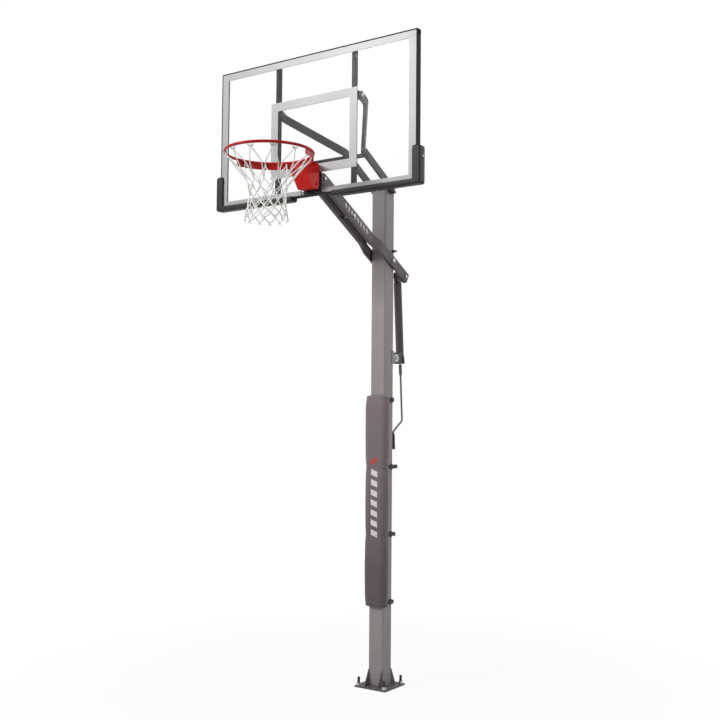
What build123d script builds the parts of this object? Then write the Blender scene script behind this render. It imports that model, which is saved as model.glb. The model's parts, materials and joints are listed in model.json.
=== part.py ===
"""Bolt-down basketball hoop with a crank-adjusted parallelogram lift.

Frame: origin at the centre of the base plate's underside, +Z up, and the backboard faces -Y.
The rest position is the highest one, with the top of the ring 3048 mm above the ground.
Every angle is in degrees and every length in millimetres.
"""

import math
import os

from build123d import *

# ---------------------------------------------------------------- driving sizes
POLE = 101.6
POLE_WALL = 4.0
POLE_CORNER = 9.0
POLE_TOP = 3075.0

PLATE = 224.0
PLATE_THICK = 10.0
ANCHOR_SPACING = 184.0
ANCHOR_DIAMETER = 16.0
ANCHOR_TOP = 60.0
GUSSET_X = 47.0
GUSSET_HEIGHT = 95.0
GUSSET_THICK = 6.0

RING_TOP = 3048.0
RING_BAR = 16.0
RING_INNER = 457.2
RING_GAP = 152.4

BOARD_WIDTH = 1386.0
BOARD_HEIGHT = 818.0
BOARD_BOTTOM = 2882.0
BOARD_FACE_Y = -734.0
GLASS_THICK = 5.0
GASKET_THICK = 4.0
FRAME_DEPTH = 35.0
RAIL_WIDTH = 30.0
RAIL_WALL = 2.0
LIP = 7.0

PIVOT_Y = 13.0
LOWER_PIVOT_Z = 2603.0
UPPER_PIVOT_Z = 3043.0
ARM_LENGTH = 790.0
ARM_ANGLE = 28.6
TAIL_LENGTH = 172.0
PIVOT_DIAMETER = 16.0
BOARD_PIVOT_DIAMETER = 12.0
RUNNING_GAP = 0.05
FACE_GAP = 0.5

JACK_PIVOT_Y = 116.0
JACK_PIVOT_Z = 2003.0
JACK_OFFSET = 91.0
JACK_LEAN = 4.1

RIM_HINGE_Y = -757.0
RIM_HINGE_Z = 2936.0

PAD_BOTTOM = 482.0
PAD_TOP = 1766.0

# ---------------------------------------------------------------- derived places
HALF_POLE = POLE / 2
HALF_BOARD = BOARD_WIDTH / 2
BOARD_TOP = BOARD_BOTTOM + BOARD_HEIGHT
GLASS_BACK_Y = BOARD_FACE_Y + GLASS_THICK
RAIL_FRONT_Y = GLASS_BACK_Y + GASKET_THICK
FRAME_BACK_Y = BOARD_FACE_Y + FRAME_DEPTH
RING_RADIUS = (RING_INNER + RING_BAR) / 2
RING_Y = BOARD_FACE_Y - RING_GAP - RING_INNER / 2
RING_Z = RING_TOP - RING_BAR / 2

ARM_COS = math.cos(math.radians(ARM_ANGLE))
ARM_SIN = math.sin(math.radians(ARM_ANGLE))
BOARD_PIVOT_Y = PIVOT_Y - ARM_LENGTH * ARM_COS
BOARD_PIVOT_RISE = ARM_LENGTH * ARM_SIN
LOWER_BOARD_PIVOT_Z = LOWER_PIVOT_Z + BOARD_PIVOT_RISE
UPPER_BOARD_PIVOT_Z = UPPER_PIVOT_Z + BOARD_PIVOT_RISE

JACK_COS = math.cos(math.radians(JACK_LEAN))
JACK_SIN = math.sin(math.radians(JACK_LEAN))
JACK_ORIGIN = (0, JACK_PIVOT_Y + JACK_OFFSET * JACK_COS, JACK_PIVOT_Z + JACK_OFFSET * JACK_SIN)


def arm_side_plane(pivot_z):
    """Side plane of an arm: local X runs from the pole pivot to the board, the normal is +X."""
    return Plane(origin=(0, PIVOT_Y, pivot_z), x_dir=(0, -ARM_COS, ARM_SIN), z_dir=(1, 0, 0))


def arm_plan_plane(pivot_z):
    """Plan plane of an arm: local X is across the hoop and local Y runs towards the board."""
    return Plane(origin=(0, PIVOT_Y, pivot_z), x_dir=(1, 0, 0), z_dir=(0, -ARM_SIN, -ARM_COS))


JACK_SIDE = Plane(origin=JACK_ORIGIN, x_dir=(0, JACK_COS, JACK_SIN), z_dir=(1, 0, 0))
JACK_AXIS = Axis(JACK_ORIGIN, (0, -JACK_SIN, JACK_COS))


def jack_section(level):
    """Plane square to the jack's axis, at a distance along it from the jack's origin."""
    origin = (0, JACK_ORIGIN[1] - level * JACK_SIN, JACK_ORIGIN[2] + level * JACK_COS)
    return Plane(origin=origin, x_dir=(1, 0, 0), z_dir=(0, -JACK_SIN, JACK_COS))


# ---------------------------------------------------------------- shared shapes
def bar_along_x(y, z, radius, x_from, x_to, mode=Mode.ADD):
    """Round bar parallel to X."""
    with BuildSketch(Plane((x_from, y, z), x_dir=(0, 1, 0), z_dir=(1, 0, 0))) as section:
        Circle(radius)
    extrude(section.sketch, amount=x_to - x_from, mode=mode)


def hexagon_along_x(y, z, across, x_from, x_to, bore=0.0):
    """Hexagonal block parallel to X, with a bore when it is a nut."""
    with BuildSketch(Plane((x_from, y, z), x_dir=(0, 1, 0), z_dir=(1, 0, 0))) as section:
        RegularPolygon(across / 2, 6, major_radius=False)
        if bore:
            Circle(bore / 2, mode=Mode.SUBTRACT)
    extrude(section.sketch, amount=x_to - x_from)


def through_bolt(y, z, diameter, grip):
    """Bolt along X with its head past +grip, and its nut as a solid of its own past -grip."""
    across = 1.5 * diameter
    nut = 0.8 * diameter
    bar_along_x(y, z, diameter / 2, -grip - nut - 5, grip + 1)
    hexagon_along_x(y, z, across, grip, grip + 0.65 * diameter)
    hexagon_along_x(y, z, across, -grip - nut, -grip, bore=diameter + 2 * RUNNING_GAP)


def block(x_from, x_to, y_from, y_to, z_from, z_to, mode=Mode.ADD):
    """Rectangular block between two corners."""
    with BuildSketch(Plane.XY.offset(z_from)) as section:
        with Locations(((x_from + x_to) / 2, (y_from + y_to) / 2)):
            Rectangle(x_to - x_from, y_to - y_from)
    extrude(section.sketch, amount=z_to - z_from, mode=mode)


def lug_profile(root_y, pivot_y, pivot_z, radius):
    """Side profile of a pivot lug: a rectangle from root_y that ends round at the pivot."""
    with Locations(((root_y + pivot_y) / 2, pivot_z)):
        Rectangle(abs(pivot_y - root_y), 2 * radius)
    with Locations((pivot_y, pivot_z)):
        Circle(radius)


# ================================================================ ground end of the pole
with BuildPart() as base_plate:
    with BuildSketch():
        RectangleRounded(PLATE, PLATE, 5)
        with GridLocations(ANCHOR_SPACING, ANCHOR_SPACING, 2, 2):
            Circle(ANCHOR_DIAMETER / 2 + 1, mode=Mode.SUBTRACT)
    extrude(amount=PLATE_THICK)

with BuildPart() as base_gussets:
    toe = HALF_POLE + 42
    for x in (-GUSSET_X, GUSSET_X):
        with BuildSketch(Plane.YZ.offset(x)):
            for side in (-1, 1):
                with BuildLine():
                    Polyline(
                        (side * HALF_POLE, PLATE_THICK),
                        (side * toe, PLATE_THICK),
                        (side * toe, PLATE_THICK + 9),
                        (side * HALF_POLE, PLATE_THICK + GUSSET_HEIGHT),
                        close=True,
                    )
                make_face()
        extrude(amount=GUSSET_THICK / 2, both=True)

with BuildPart() as anchor_studs:
    with BuildSketch():
        with GridLocations(ANCHOR_SPACING, ANCHOR_SPACING, 2, 2):
            Circle(ANCHOR_DIAMETER / 2)
    extrude(amount=ANCHOR_TOP)
    chamfer(anchor_studs.edges().group_by(Axis.Z)[-1], 1.5)

with BuildPart() as anchor_nuts:
    washer = 3.0
    with BuildSketch(Plane.XY.offset(PLATE_THICK)):
        with GridLocations(ANCHOR_SPACING, ANCHOR_SPACING, 2, 2):
            Circle(15)
            Circle(ANCHOR_DIAMETER / 2 + RUNNING_GAP, mode=Mode.SUBTRACT)
    extrude(amount=washer)
    with BuildSketch(Plane.XY.offset(PLATE_THICK + washer)):
        with GridLocations(ANCHOR_SPACING, ANCHOR_SPACING, 2, 2):
            RegularPolygon(12, 6, major_radius=False)
            Circle(ANCHOR_DIAMETER / 2 + RUNNING_GAP, mode=Mode.SUBTRACT)
    extrude(amount=13)

# ================================================================ pole
STOP_BOLT_Y = 36.0
STOP_BOLT_Z = 2664.0
STOP_BOLT_DIAMETER = 10.0

with BuildPart() as pole_tube:
    with BuildSketch(Plane.XY.offset(PLATE_THICK)):
        RectangleRounded(POLE, POLE, POLE_CORNER)
        inside = POLE - 2 * POLE_WALL
        RectangleRounded(inside, inside, POLE_CORNER - POLE_WALL, mode=Mode.SUBTRACT)
    extrude(amount=POLE_TOP - PLATE_THICK)
    for z in (LOWER_PIVOT_Z, UPPER_PIVOT_Z):
        bar_along_x(PIVOT_Y, z, PIVOT_DIAMETER / 2 + 0.2, -POLE, POLE, Mode.SUBTRACT)
    bar_along_x(STOP_BOLT_Y, STOP_BOLT_Z, STOP_BOLT_DIAMETER / 2 + 0.2, 0, POLE, Mode.SUBTRACT)

with BuildPart() as pole_cap:
    with BuildSketch(Plane.XY.offset(POLE_TOP)):
        RectangleRounded(POLE, POLE, POLE_CORNER)
    extrude(amount=5)
    fillet(pole_cap.edges().group_by(Axis.Z)[-1], 3)
    plug = POLE - 2 * POLE_WALL - 0.6
    with BuildSketch(Plane.XY.offset(POLE_TOP)):
        RectangleRounded(plug, plug, POLE_CORNER - POLE_WALL)
        RectangleRounded(plug - 6, plug - 6, 2, mode=Mode.SUBTRACT)
    extrude(amount=-14)

ARM_OUTER_X = 66.0
UPPER_ARM_WIDE = 19.0
UPPER_ARM_TALL = 44.0
UPPER_ARM_X = 65.0

with BuildPart() as lower_pivot_bolt:
    through_bolt(PIVOT_Y, LOWER_PIVOT_Z, PIVOT_DIAMETER, ARM_OUTER_X + FACE_GAP)

with BuildPart() as upper_pivot_bolt:
    through_bolt(PIVOT_Y, UPPER_PIVOT_Z, PIVOT_DIAMETER, UPPER_ARM_X + UPPER_ARM_WIDE / 2 + FACE_GAP)

with BuildPart() as stop_bolt:
    radius = STOP_BOLT_DIAMETER / 2
    bar_along_x(STOP_BOLT_Y, STOP_BOLT_Z, radius, HALF_POLE - POLE_WALL - 6, HALF_POLE + 30)
    bar_along_x(STOP_BOLT_Y, STOP_BOLT_Z, 9.8, HALF_POLE, HALF_POLE + 2.5)
    hexagon_along_x(STOP_BOLT_Y, STOP_BOLT_Z, 17, HALF_POLE + 2.5, HALF_POLE + 11)

# ---------------------------------------------------------------- pole pad and its ties
PAD_HALF_WIDTH = 78.0
PAD_FRONT_Y = -83.0
PAD_REAR_Y = -24.0
TIE_LEVELS = (1739.0, 1331.0, 919.0, 507.0)

with BuildPart() as pole_pad:
    with BuildSketch(Plane.XY.offset(PAD_BOTTOM)) as pad_section:
        with Locations((0, (PAD_FRONT_Y + PAD_REAR_Y) / 2)):
            Rectangle(2 * PAD_HALF_WIDTH, PAD_REAR_Y - PAD_FRONT_Y)
        fillet(pad_section.vertices().group_by(Axis.Y)[0], 32)
        fillet(pad_section.vertices().group_by(Axis.Y)[-1], 12)
        Rectangle(POLE + 1, POLE + 1, mode=Mode.SUBTRACT)
    extrude(amount=PAD_TOP - PAD_BOTTOM)

with BuildPart() as pad_ties:
    tie_thick = 3.0
    inner = POLE + 0.6
    for level in TIE_LEVELS:
        with BuildSketch(Plane.XY.offset(level - 12)):
            RectangleRounded(inner + 2 * tie_thick, inner + 2 * tie_thick, POLE_CORNER + tie_thick)
            RectangleRounded(inner, inner, POLE_CORNER, mode=Mode.SUBTRACT)
            with Locations((0, PAD_REAR_Y + FACE_GAP - POLE)):
                Rectangle(2 * POLE, 2 * POLE, mode=Mode.SUBTRACT)
        extrude(amount=24)

with BuildPart() as tie_knots:
    knot_x = HALF_POLE + 0.3 + 3.0
    for level in TIE_LEVELS:
        with BuildSketch(Plane.YZ.offset(knot_x + 0.1)):
            with Locations((38, level)):
                Ellipse(13, 11)
        extrude(amount=12)
    fillet(tie_knots.edges().group_by(Axis.X)[-1], 4)

# ---------------------------------------------------------------- jack bracket on the pole
JACK_PIVOT_DIAMETER = 12.0
EAR_X = 24.0
EAR_THICK = 5.0
DISC_THICK = 3.0
BRACKET_WALL = 4.0

with BuildPart() as jack_bracket:
    half = HALF_POLE + BRACKET_WALL
    rear = HALF_POLE + BRACKET_WALL
    low = JACK_PIVOT_Z - 41
    high = JACK_PIVOT_Z + 41
    block(-half, half, HALF_POLE, rear, low, high)
    for side in (-1, 1):
        x_from, x_to = sorted((side * HALF_POLE, side * half))
        block(x_from, x_to, HALF_POLE - 22, HALF_POLE, low, high)
    fillet(jack_bracket.edges().filter_by(Axis.Z).group_by(Axis.Y)[-1], 3)
    for x in (-EAR_X - EAR_THICK, EAR_X):
        with BuildSketch(Plane.YZ.offset(x)):
            lug_profile(rear - 1, JACK_PIVOT_Y, JACK_PIVOT_Z, 27)
        extrude(amount=EAR_THICK)
    reach = EAR_X + EAR_THICK + 5
    bar_along_x(JACK_PIVOT_Y, JACK_PIVOT_Z, JACK_PIVOT_DIAMETER / 2 + 0.1, -reach, reach, Mode.SUBTRACT)

with BuildPart() as jack_pivot_discs:
    for x in (-EAR_X - EAR_THICK - DISC_THICK, EAR_X + EAR_THICK):
        bar_along_x(JACK_PIVOT_Y, JACK_PIVOT_Z, 25, x, x + DISC_THICK)
        bar_along_x(JACK_PIVOT_Y, JACK_PIVOT_Z, 6.1, x, x + DISC_THICK, Mode.SUBTRACT)

with BuildPart() as jack_pivot_bolt:
    through_bolt(JACK_PIVOT_Y, JACK_PIVOT_Z, JACK_PIVOT_DIAMETER, EAR_X + EAR_THICK + DISC_THICK)

# ================================================================ lower arms
ARM_TALL = 63.5
ARM_WALL = 4.0
ARM_FLANGE = 24.0
ARM_BOARD_X = 45.0
JOGGLE_START = 225.0
JOGGLE_END = 134.0
ARM_RUN_OUT = 29.0
LOWER_SPACER_AT = 455.0

with BuildPart() as lower_arm_right:
    plan = arm_plan_plane(LOWER_PIVOT_Z)
    with BuildLine(plan) as arm_path:
        FilletPolyline(
            (ARM_BOARD_X, ARM_LENGTH + ARM_TALL / 2),
            (ARM_BOARD_X, JOGGLE_START),
            (ARM_OUTER_X, JOGGLE_END),
            (ARM_OUTER_X, -TAIL_LENGTH - ARM_RUN_OUT),
            radius=60,
        )
    start = plan.from_local_coords((ARM_BOARD_X, ARM_LENGTH + ARM_TALL / 2, 0))
    with BuildSketch(Plane(origin=start, x_dir=(1, 0, 0), z_dir=(0, ARM_COS, -ARM_SIN))):
        with Locations((-ARM_WALL / 2, 0)):
            Rectangle(ARM_WALL, ARM_TALL)
        for side in (-1, 1):
            with Locations((-ARM_FLANGE / 2, side * (ARM_TALL - ARM_WALL) / 2)):
                Rectangle(ARM_FLANGE, ARM_WALL)
    sweep(path=arm_path.wires()[0])
    with BuildSketch(arm_plan_plane(LOWER_PIVOT_Z)):
        with BuildLine():
            past = HALF_POLE + 1.7
            Polyline((0, 178), (40, 178), (past, 140), (past, -95), (0, -95), close=True)
        make_face()
    extrude(amount=ARM_TALL, both=True, mode=Mode.SUBTRACT)
    with BuildSketch(arm_side_plane(LOWER_PIVOT_Z)):
        with BuildSketch(mode=Mode.PRIVATE) as tail:
            RectangleRounded(2 * (TAIL_LENGTH + ARM_RUN_OUT), ARM_TALL, 7)
        add(tail)
        with Locations((ARM_LENGTH / 2, 0)):
            SlotCenterToCenter(ARM_LENGTH, ARM_TALL)
    extrude(amount=2 * ARM_OUTER_X, both=True, mode=Mode.INTERSECT)
    with BuildSketch(arm_side_plane(LOWER_PIVOT_Z)):
        Circle(PIVOT_DIAMETER / 2 + RUNNING_GAP)
        with Locations((ARM_LENGTH, 0)):
            Circle(BOARD_PIVOT_DIAMETER / 2 + RUNNING_GAP)
        with Locations((-TAIL_LENGTH, 0), (LOWER_SPACER_AT, 0)):
            Circle(6.05)
    extrude(amount=2 * ARM_OUTER_X, both=True, mode=Mode.SUBTRACT)

with BuildPart() as lower_arm_left:
    mirror(lower_arm_right.part, about=Plane.YZ, mode=Mode.ADD)

with BuildPart() as lower_arm_spacer:
    y = PIVOT_Y - LOWER_SPACER_AT * ARM_COS
    z = LOWER_PIVOT_Z + LOWER_SPACER_AT * ARM_SIN
    web = ARM_BOARD_X - ARM_WALL
    bar_along_x(y, z, 11, -web, web)
    bar_along_x(y, z, 6, -ARM_BOARD_X - 1, ARM_BOARD_X + 1)
    for side in (-ARM_BOARD_X - 8, ARM_BOARD_X):
        hexagon_along_x(y, z, 18, side, side + 8)

with BuildPart() as lower_arm_bushings:
    inner_x = HALF_POLE + 0.4
    web_x = ARM_OUTER_X - ARM_WALL
    for x in (-web_x, inner_x):
        bar_along_x(PIVOT_Y, LOWER_PIVOT_Z, 19, x, x + web_x - inner_x)
        bar_along_x(PIVOT_Y, LOWER_PIVOT_Z, 8.05, x, x + web_x - inner_x, Mode.SUBTRACT)

TAIL_PIN_Y = PIVOT_Y + TAIL_LENGTH * ARM_COS
TAIL_PIN_Z = LOWER_PIVOT_Z - TAIL_LENGTH * ARM_SIN

with BuildPart() as jack_top_bolt:
    through_bolt(TAIL_PIN_Y, TAIL_PIN_Z, 12, ARM_OUTER_X)

# ================================================================ upper arms
UPPER_ARM_BOARD_X = 292.0
BEND_NEAR_BOARD = 730.0
BEND_NEAR_POLE = 379.0
UPPER_RUN_OUT = UPPER_ARM_TALL / 2
UPPER_SPACER_AT = 334.0
UPPER_WALL = 2.5

with BuildPart() as upper_arm_right:
    plan = arm_plan_plane(UPPER_PIVOT_Z)
    with BuildLine(plan) as upper_path:
        FilletPolyline(
            (UPPER_ARM_BOARD_X, ARM_LENGTH + UPPER_RUN_OUT),
            (UPPER_ARM_BOARD_X, BEND_NEAR_BOARD),
            (UPPER_ARM_X, BEND_NEAR_POLE),
            (UPPER_ARM_X, -UPPER_RUN_OUT),
            radius=38,
        )
    start = plan.from_local_coords((UPPER_ARM_BOARD_X, ARM_LENGTH + UPPER_RUN_OUT, 0))
    with BuildSketch(Plane(origin=start, x_dir=(1, 0, 0), z_dir=(0, ARM_COS, -ARM_SIN))):
        Rectangle(UPPER_ARM_WIDE, UPPER_ARM_TALL)
        Rectangle(UPPER_ARM_WIDE - 2 * UPPER_WALL, UPPER_ARM_TALL - 2 * UPPER_WALL, mode=Mode.SUBTRACT)
    sweep(path=upper_path.wires()[0])
    with BuildSketch(arm_side_plane(UPPER_PIVOT_Z)):
        with Locations((ARM_LENGTH / 2, 0)):
            SlotCenterToCenter(ARM_LENGTH, UPPER_ARM_TALL)
    extrude(amount=400, both=True, mode=Mode.INTERSECT)
    with BuildSketch(arm_side_plane(UPPER_PIVOT_Z)):
        Circle(PIVOT_DIAMETER / 2 + RUNNING_GAP)
        with Locations((ARM_LENGTH, 0)):
            Circle(BOARD_PIVOT_DIAMETER / 2 + 2 * RUNNING_GAP)
        with Locations((UPPER_SPACER_AT, 0)):
            Circle(6.05)
    extrude(amount=400, both=True, mode=Mode.SUBTRACT)

with BuildPart() as upper_arm_left:
    mirror(upper_arm_right.part, about=Plane.YZ, mode=Mode.ADD)

with BuildPart() as upper_arm_spacer:
    y = PIVOT_Y - UPPER_SPACER_AT * ARM_COS
    z = UPPER_PIVOT_Z + UPPER_SPACER_AT * ARM_SIN
    inner_face = UPPER_ARM_X - UPPER_ARM_WIDE / 2
    outer_face = UPPER_ARM_X + UPPER_ARM_WIDE / 2
    bar_along_x(y, z, 14, -inner_face, inner_face)
    bar_along_x(y, z, 6, -outer_face - 1, outer_face + 1)
    for side in (-outer_face - 8, outer_face):
        hexagon_along_x(y, z, 18, side, side + 8)

with BuildPart() as upper_arm_bushings:
    inner_x = HALF_POLE + 0.4
    web_x = UPPER_ARM_X - UPPER_ARM_WIDE / 2
    for x in (-web_x, inner_x):
        bar_along_x(PIVOT_Y, UPPER_PIVOT_Z, 17, x, x + web_x - inner_x)
        bar_along_x(PIVOT_Y, UPPER_PIVOT_Z, 8.05, x, x + web_x - inner_x, Mode.SUBTRACT)

# ================================================================ backboard
MOUNT_HOLE_X = 32.0
MOUNT_HOLE_LEVELS = (2948.0, 3026.0)
MOUNT_BOLT = 10.0
CENTRE_PLATE_HALF = 62.0
CENTRE_PLATE_TOP = 3070.0
POST_INNER_X = 262.0
POST_WIDE = 16.0
POST_DEPTH = 36.0
CROSSBAR_BOTTOM = 3060.0
CROSSBAR_TALL = 18.0
PAD_LEG_TOP = 3070.0
PAD_LEG_WIDE = 50.0
PAD_INNER_END = 137.0


def mount_holes(radius):
    """Four holes for the rim's bolts, on a sketch whose X is across and whose Y is up."""
    for z in MOUNT_HOLE_LEVELS:
        with Locations((-MOUNT_HOLE_X, z), (MOUNT_HOLE_X, z)):
            Circle(radius, mode=Mode.SUBTRACT)


def facing_plane(y):
    """Upright plane at a depth: local X is +X, local Y is +Z and the normal points to -Y."""
    return Plane(origin=(0, y, 0), x_dir=(1, 0, 0), z_dir=(0, -1, 0))


with BuildPart() as backboard_glass:
    edge = LIP + FACE_GAP
    with BuildSketch(facing_plane(GLASS_BACK_Y)):
        with Locations((0, BOARD_BOTTOM + BOARD_HEIGHT / 2)):
            RectangleRounded(BOARD_WIDTH - 2 * edge, BOARD_HEIGHT - 2 * edge, 3)
        mount_holes(MOUNT_BOLT / 2 + 0.5)
    extrude(amount=GLASS_THICK)

with BuildPart() as glass_gasket:
    tape = 20.0
    reach = HALF_BOARD - LIP - 1
    y_from = GLASS_BACK_Y
    y_to = RAIL_FRONT_Y
    top = BOARD_TOP - LIP - 1
    bottom = BOARD_BOTTOM + LIP + 1
    block(-reach, reach, y_from, y_to, top - tape, top)
    for side in (-1, 1):
        x_from, x_to = sorted((side * reach, side * (reach - tape)))
        block(x_from, x_to, y_from, y_to, bottom + tape + 1, top - tape - 1)
        x_from, x_to = sorted((side * reach, side * (CENTRE_PLATE_HALF + 2)))
        block(x_from, x_to, y_from, y_to, bottom, bottom + tape)


def rail_section(lip_side):
    """Rail profile: X runs from the outer edge inwards times lip_side, Y runs to the rear."""
    depth = FRAME_BACK_Y - RAIL_FRONT_Y
    with Locations((lip_side * RAIL_WIDTH / 2, depth / 2)):
        Rectangle(RAIL_WIDTH, depth)
        Rectangle(RAIL_WIDTH - 2 * RAIL_WALL, depth - 2 * RAIL_WALL, mode=Mode.SUBTRACT)
    with Locations((lip_side * LIP / 2, -(GLASS_THICK + GASKET_THICK) / 2)):
        Rectangle(LIP, GLASS_THICK + GASKET_THICK)


def upright_rail(side):
    """Side rail between the top and bottom rails, on the left (-1) or the right (1)."""
    low = BOARD_BOTTOM + RAIL_WIDTH
    high = BOARD_TOP - RAIL_WIDTH
    plane = Plane(origin=(side * HALF_BOARD, RAIL_FRONT_Y, low), x_dir=(1, 0, 0), z_dir=(0, 0, 1))
    with BuildSketch(plane) as section:
        rail_section(-side)
    extrude(section.sketch, amount=high - low)


def level_rail(edge_z, inward):
    """Top or bottom rail across the whole board; inward is +1 when the board is above it."""
    plane = Plane(origin=(-HALF_BOARD, RAIL_FRONT_Y, edge_z), x_dir=(0, 0, 1), z_dir=(-1, 0, 0))
    with BuildSketch(plane) as section:
        rail_section(inward)
    extrude(section.sketch, amount=-BOARD_WIDTH)
    low, high = sorted((edge_z + inward * LIP, edge_z + inward * RAIL_WIDTH))
    for x in (-HALF_BOARD, HALF_BOARD - LIP):
        block(x, x + LIP, BOARD_FACE_Y, RAIL_FRONT_Y, low, high)


with BuildPart() as frame_left:
    upright_rail(-1)

with BuildPart() as frame_right:
    upright_rail(1)

with BuildPart() as frame_top:
    level_rail(BOARD_TOP, -1)

with BuildPart() as frame_bottom:
    level_rail(BOARD_BOTTOM, 1)

with BuildPart() as board_posts:
    low = BOARD_BOTTOM + RAIL_WIDTH
    with BuildSketch(Plane.XY.offset(low)):
        for side in (-1, 1):
            with Locations((side * (POST_INNER_X + POST_WIDE / 2), RAIL_FRONT_Y + POST_DEPTH / 2)):
                Rectangle(POST_WIDE, POST_DEPTH)
                Rectangle(POST_WIDE - 4, POST_DEPTH - 4, mode=Mode.SUBTRACT)
    extrude(amount=BOARD_HEIGHT - 2 * RAIL_WIDTH)

with BuildPart() as crossbar:
    depth = FRAME_BACK_Y - RAIL_FRONT_Y
    end = Plane(origin=(-POST_INNER_X, RAIL_FRONT_Y, CROSSBAR_BOTTOM), x_dir=(0, 1, 0), z_dir=(1, 0, 0))
    with BuildSketch(end):
        with Locations((depth / 2, CROSSBAR_TALL / 2)):
            Rectangle(depth, CROSSBAR_TALL)
            Rectangle(depth - 4, CROSSBAR_TALL - 4, mode=Mode.SUBTRACT)
    extrude(amount=2 * POST_INNER_X)

with BuildPart() as centre_plate:
    low = BOARD_BOTTOM + LIP + FACE_GAP
    with BuildSketch(facing_plane(RAIL_FRONT_Y)):
        with Locations((0, (low + CENTRE_PLATE_TOP) / 2)):
            RectangleRounded(2 * CENTRE_PLATE_HALF, CENTRE_PLATE_TOP - low, 4)
        mount_holes(MOUNT_BOLT / 2 + 0.5)
    extrude(amount=GASKET_THICK)

BRACKET_BACK_Y = RAIL_FRONT_Y + 5
with BuildPart() as lower_brackets:
    inner_x = ARM_BOARD_X + FACE_GAP
    outer_x = inner_x + 4
    with BuildSketch(facing_plane(BRACKET_BACK_Y)):
        with Locations((0, LOWER_BOARD_PIVOT_Z - 8)):
            Rectangle(2 * outer_x, 74)
        mount_holes(MOUNT_BOLT / 2 + 0.5)
    extrude(amount=5)
    for x in (-outer_x, inner_x):
        with BuildSketch(Plane.YZ.offset(x)):
            lug_profile(BRACKET_BACK_Y - 1, BOARD_PIVOT_Y, LOWER_BOARD_PIVOT_Z, 27)
        extrude(amount=4)
    radius = BOARD_PIVOT_DIAMETER / 2 + 0.1
    bar_along_x(BOARD_PIVOT_Y, LOWER_BOARD_PIVOT_Z, radius, -outer_x, outer_x, Mode.SUBTRACT)

POST_OUTER_X = POST_INNER_X + POST_WIDE
with BuildPart() as upper_brackets:
    for x in (-POST_OUTER_X - 4, POST_OUTER_X):
        with BuildSketch(Plane.YZ.offset(x)):
            lug_profile(RAIL_FRONT_Y + 6, BOARD_PIVOT_Y, UPPER_BOARD_PIVOT_Z, 26)
        extrude(amount=4)
    radius = BOARD_PIVOT_DIAMETER / 2 + 0.1
    reach = POST_OUTER_X + 10
    bar_along_x(BOARD_PIVOT_Y, UPPER_BOARD_PIVOT_Z, radius, -reach, reach, Mode.SUBTRACT)

with BuildPart() as lower_board_bolt:
    through_bolt(BOARD_PIVOT_Y, LOWER_BOARD_PIVOT_Z, BOARD_PIVOT_DIAMETER, ARM_BOARD_X + FACE_GAP + 4)

with BuildPart() as upper_board_bolts:
    face = UPPER_ARM_BOARD_X + UPPER_ARM_WIDE / 2 + FACE_GAP
    radius = BOARD_PIVOT_DIAMETER / 2
    for side in (-1, 1):
        x_from, x_to = sorted((side * (POST_OUTER_X + 0.5), side * (face + 1)))
        bar_along_x(BOARD_PIVOT_Y, UPPER_BOARD_PIVOT_Z, radius, x_from, x_to)
        x_from, x_to = sorted((side * face, side * (face + 8)))
        hexagon_along_x(BOARD_PIVOT_Y, UPPER_BOARD_PIVOT_Z, 18, x_from, x_to)


def corner_pad(side):
    """L-shaped pad that wraps one lower corner of the board, with a channel for the frame."""
    outer = HALF_BOARD + 25
    inner = outer - PAD_LEG_WIDE
    bottom = BOARD_BOTTOM - 20
    ledge = BOARD_BOTTOM + 9
    front = BOARD_FACE_Y - 12
    with BuildSketch(facing_plane(FRAME_BACK_Y + 9)) as outline:
        with BuildLine():
            Polyline(
                (side * PAD_INNER_END, bottom),
                (side * outer, bottom),
                (side * outer, PAD_LEG_TOP),
                (side * inner, PAD_LEG_TOP),
                (side * inner, ledge),
                (side * PAD_INNER_END, ledge),
                close=True,
            )
        make_face()
        fillet(outline.vertices().group_by(Axis.Y)[-1], 12)
        fillet(outline.vertices().group_by(Axis.Y)[0], 6)
    extrude(outline.sketch, amount=FRAME_BACK_Y + 9 - front)
    clear = 0.5
    x_from, x_to = sorted((0, side * (HALF_BOARD + clear)))
    y_from = BOARD_FACE_Y - clear
    y_to = FRAME_BACK_Y + clear
    block(x_from, x_to, y_from, y_to, BOARD_BOTTOM - clear, BOARD_TOP, Mode.SUBTRACT)


with BuildPart() as board_pad_left:
    corner_pad(-1)

with BuildPart() as board_pad_right:
    corner_pad(1)

# ================================================================ rim, fixed half
RIM_PLATE_HALF = 48.0
RIM_PLATE_THICK = 3.0
RIM_PLATE_FRONT_Y = BOARD_FACE_Y - RIM_PLATE_THICK
SHELF_TOP = 2966.0
SPRING_Y = -790.0
SPRING_X = 20.0
TOP_PLATE_BOTTOM = 3044.0

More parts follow.
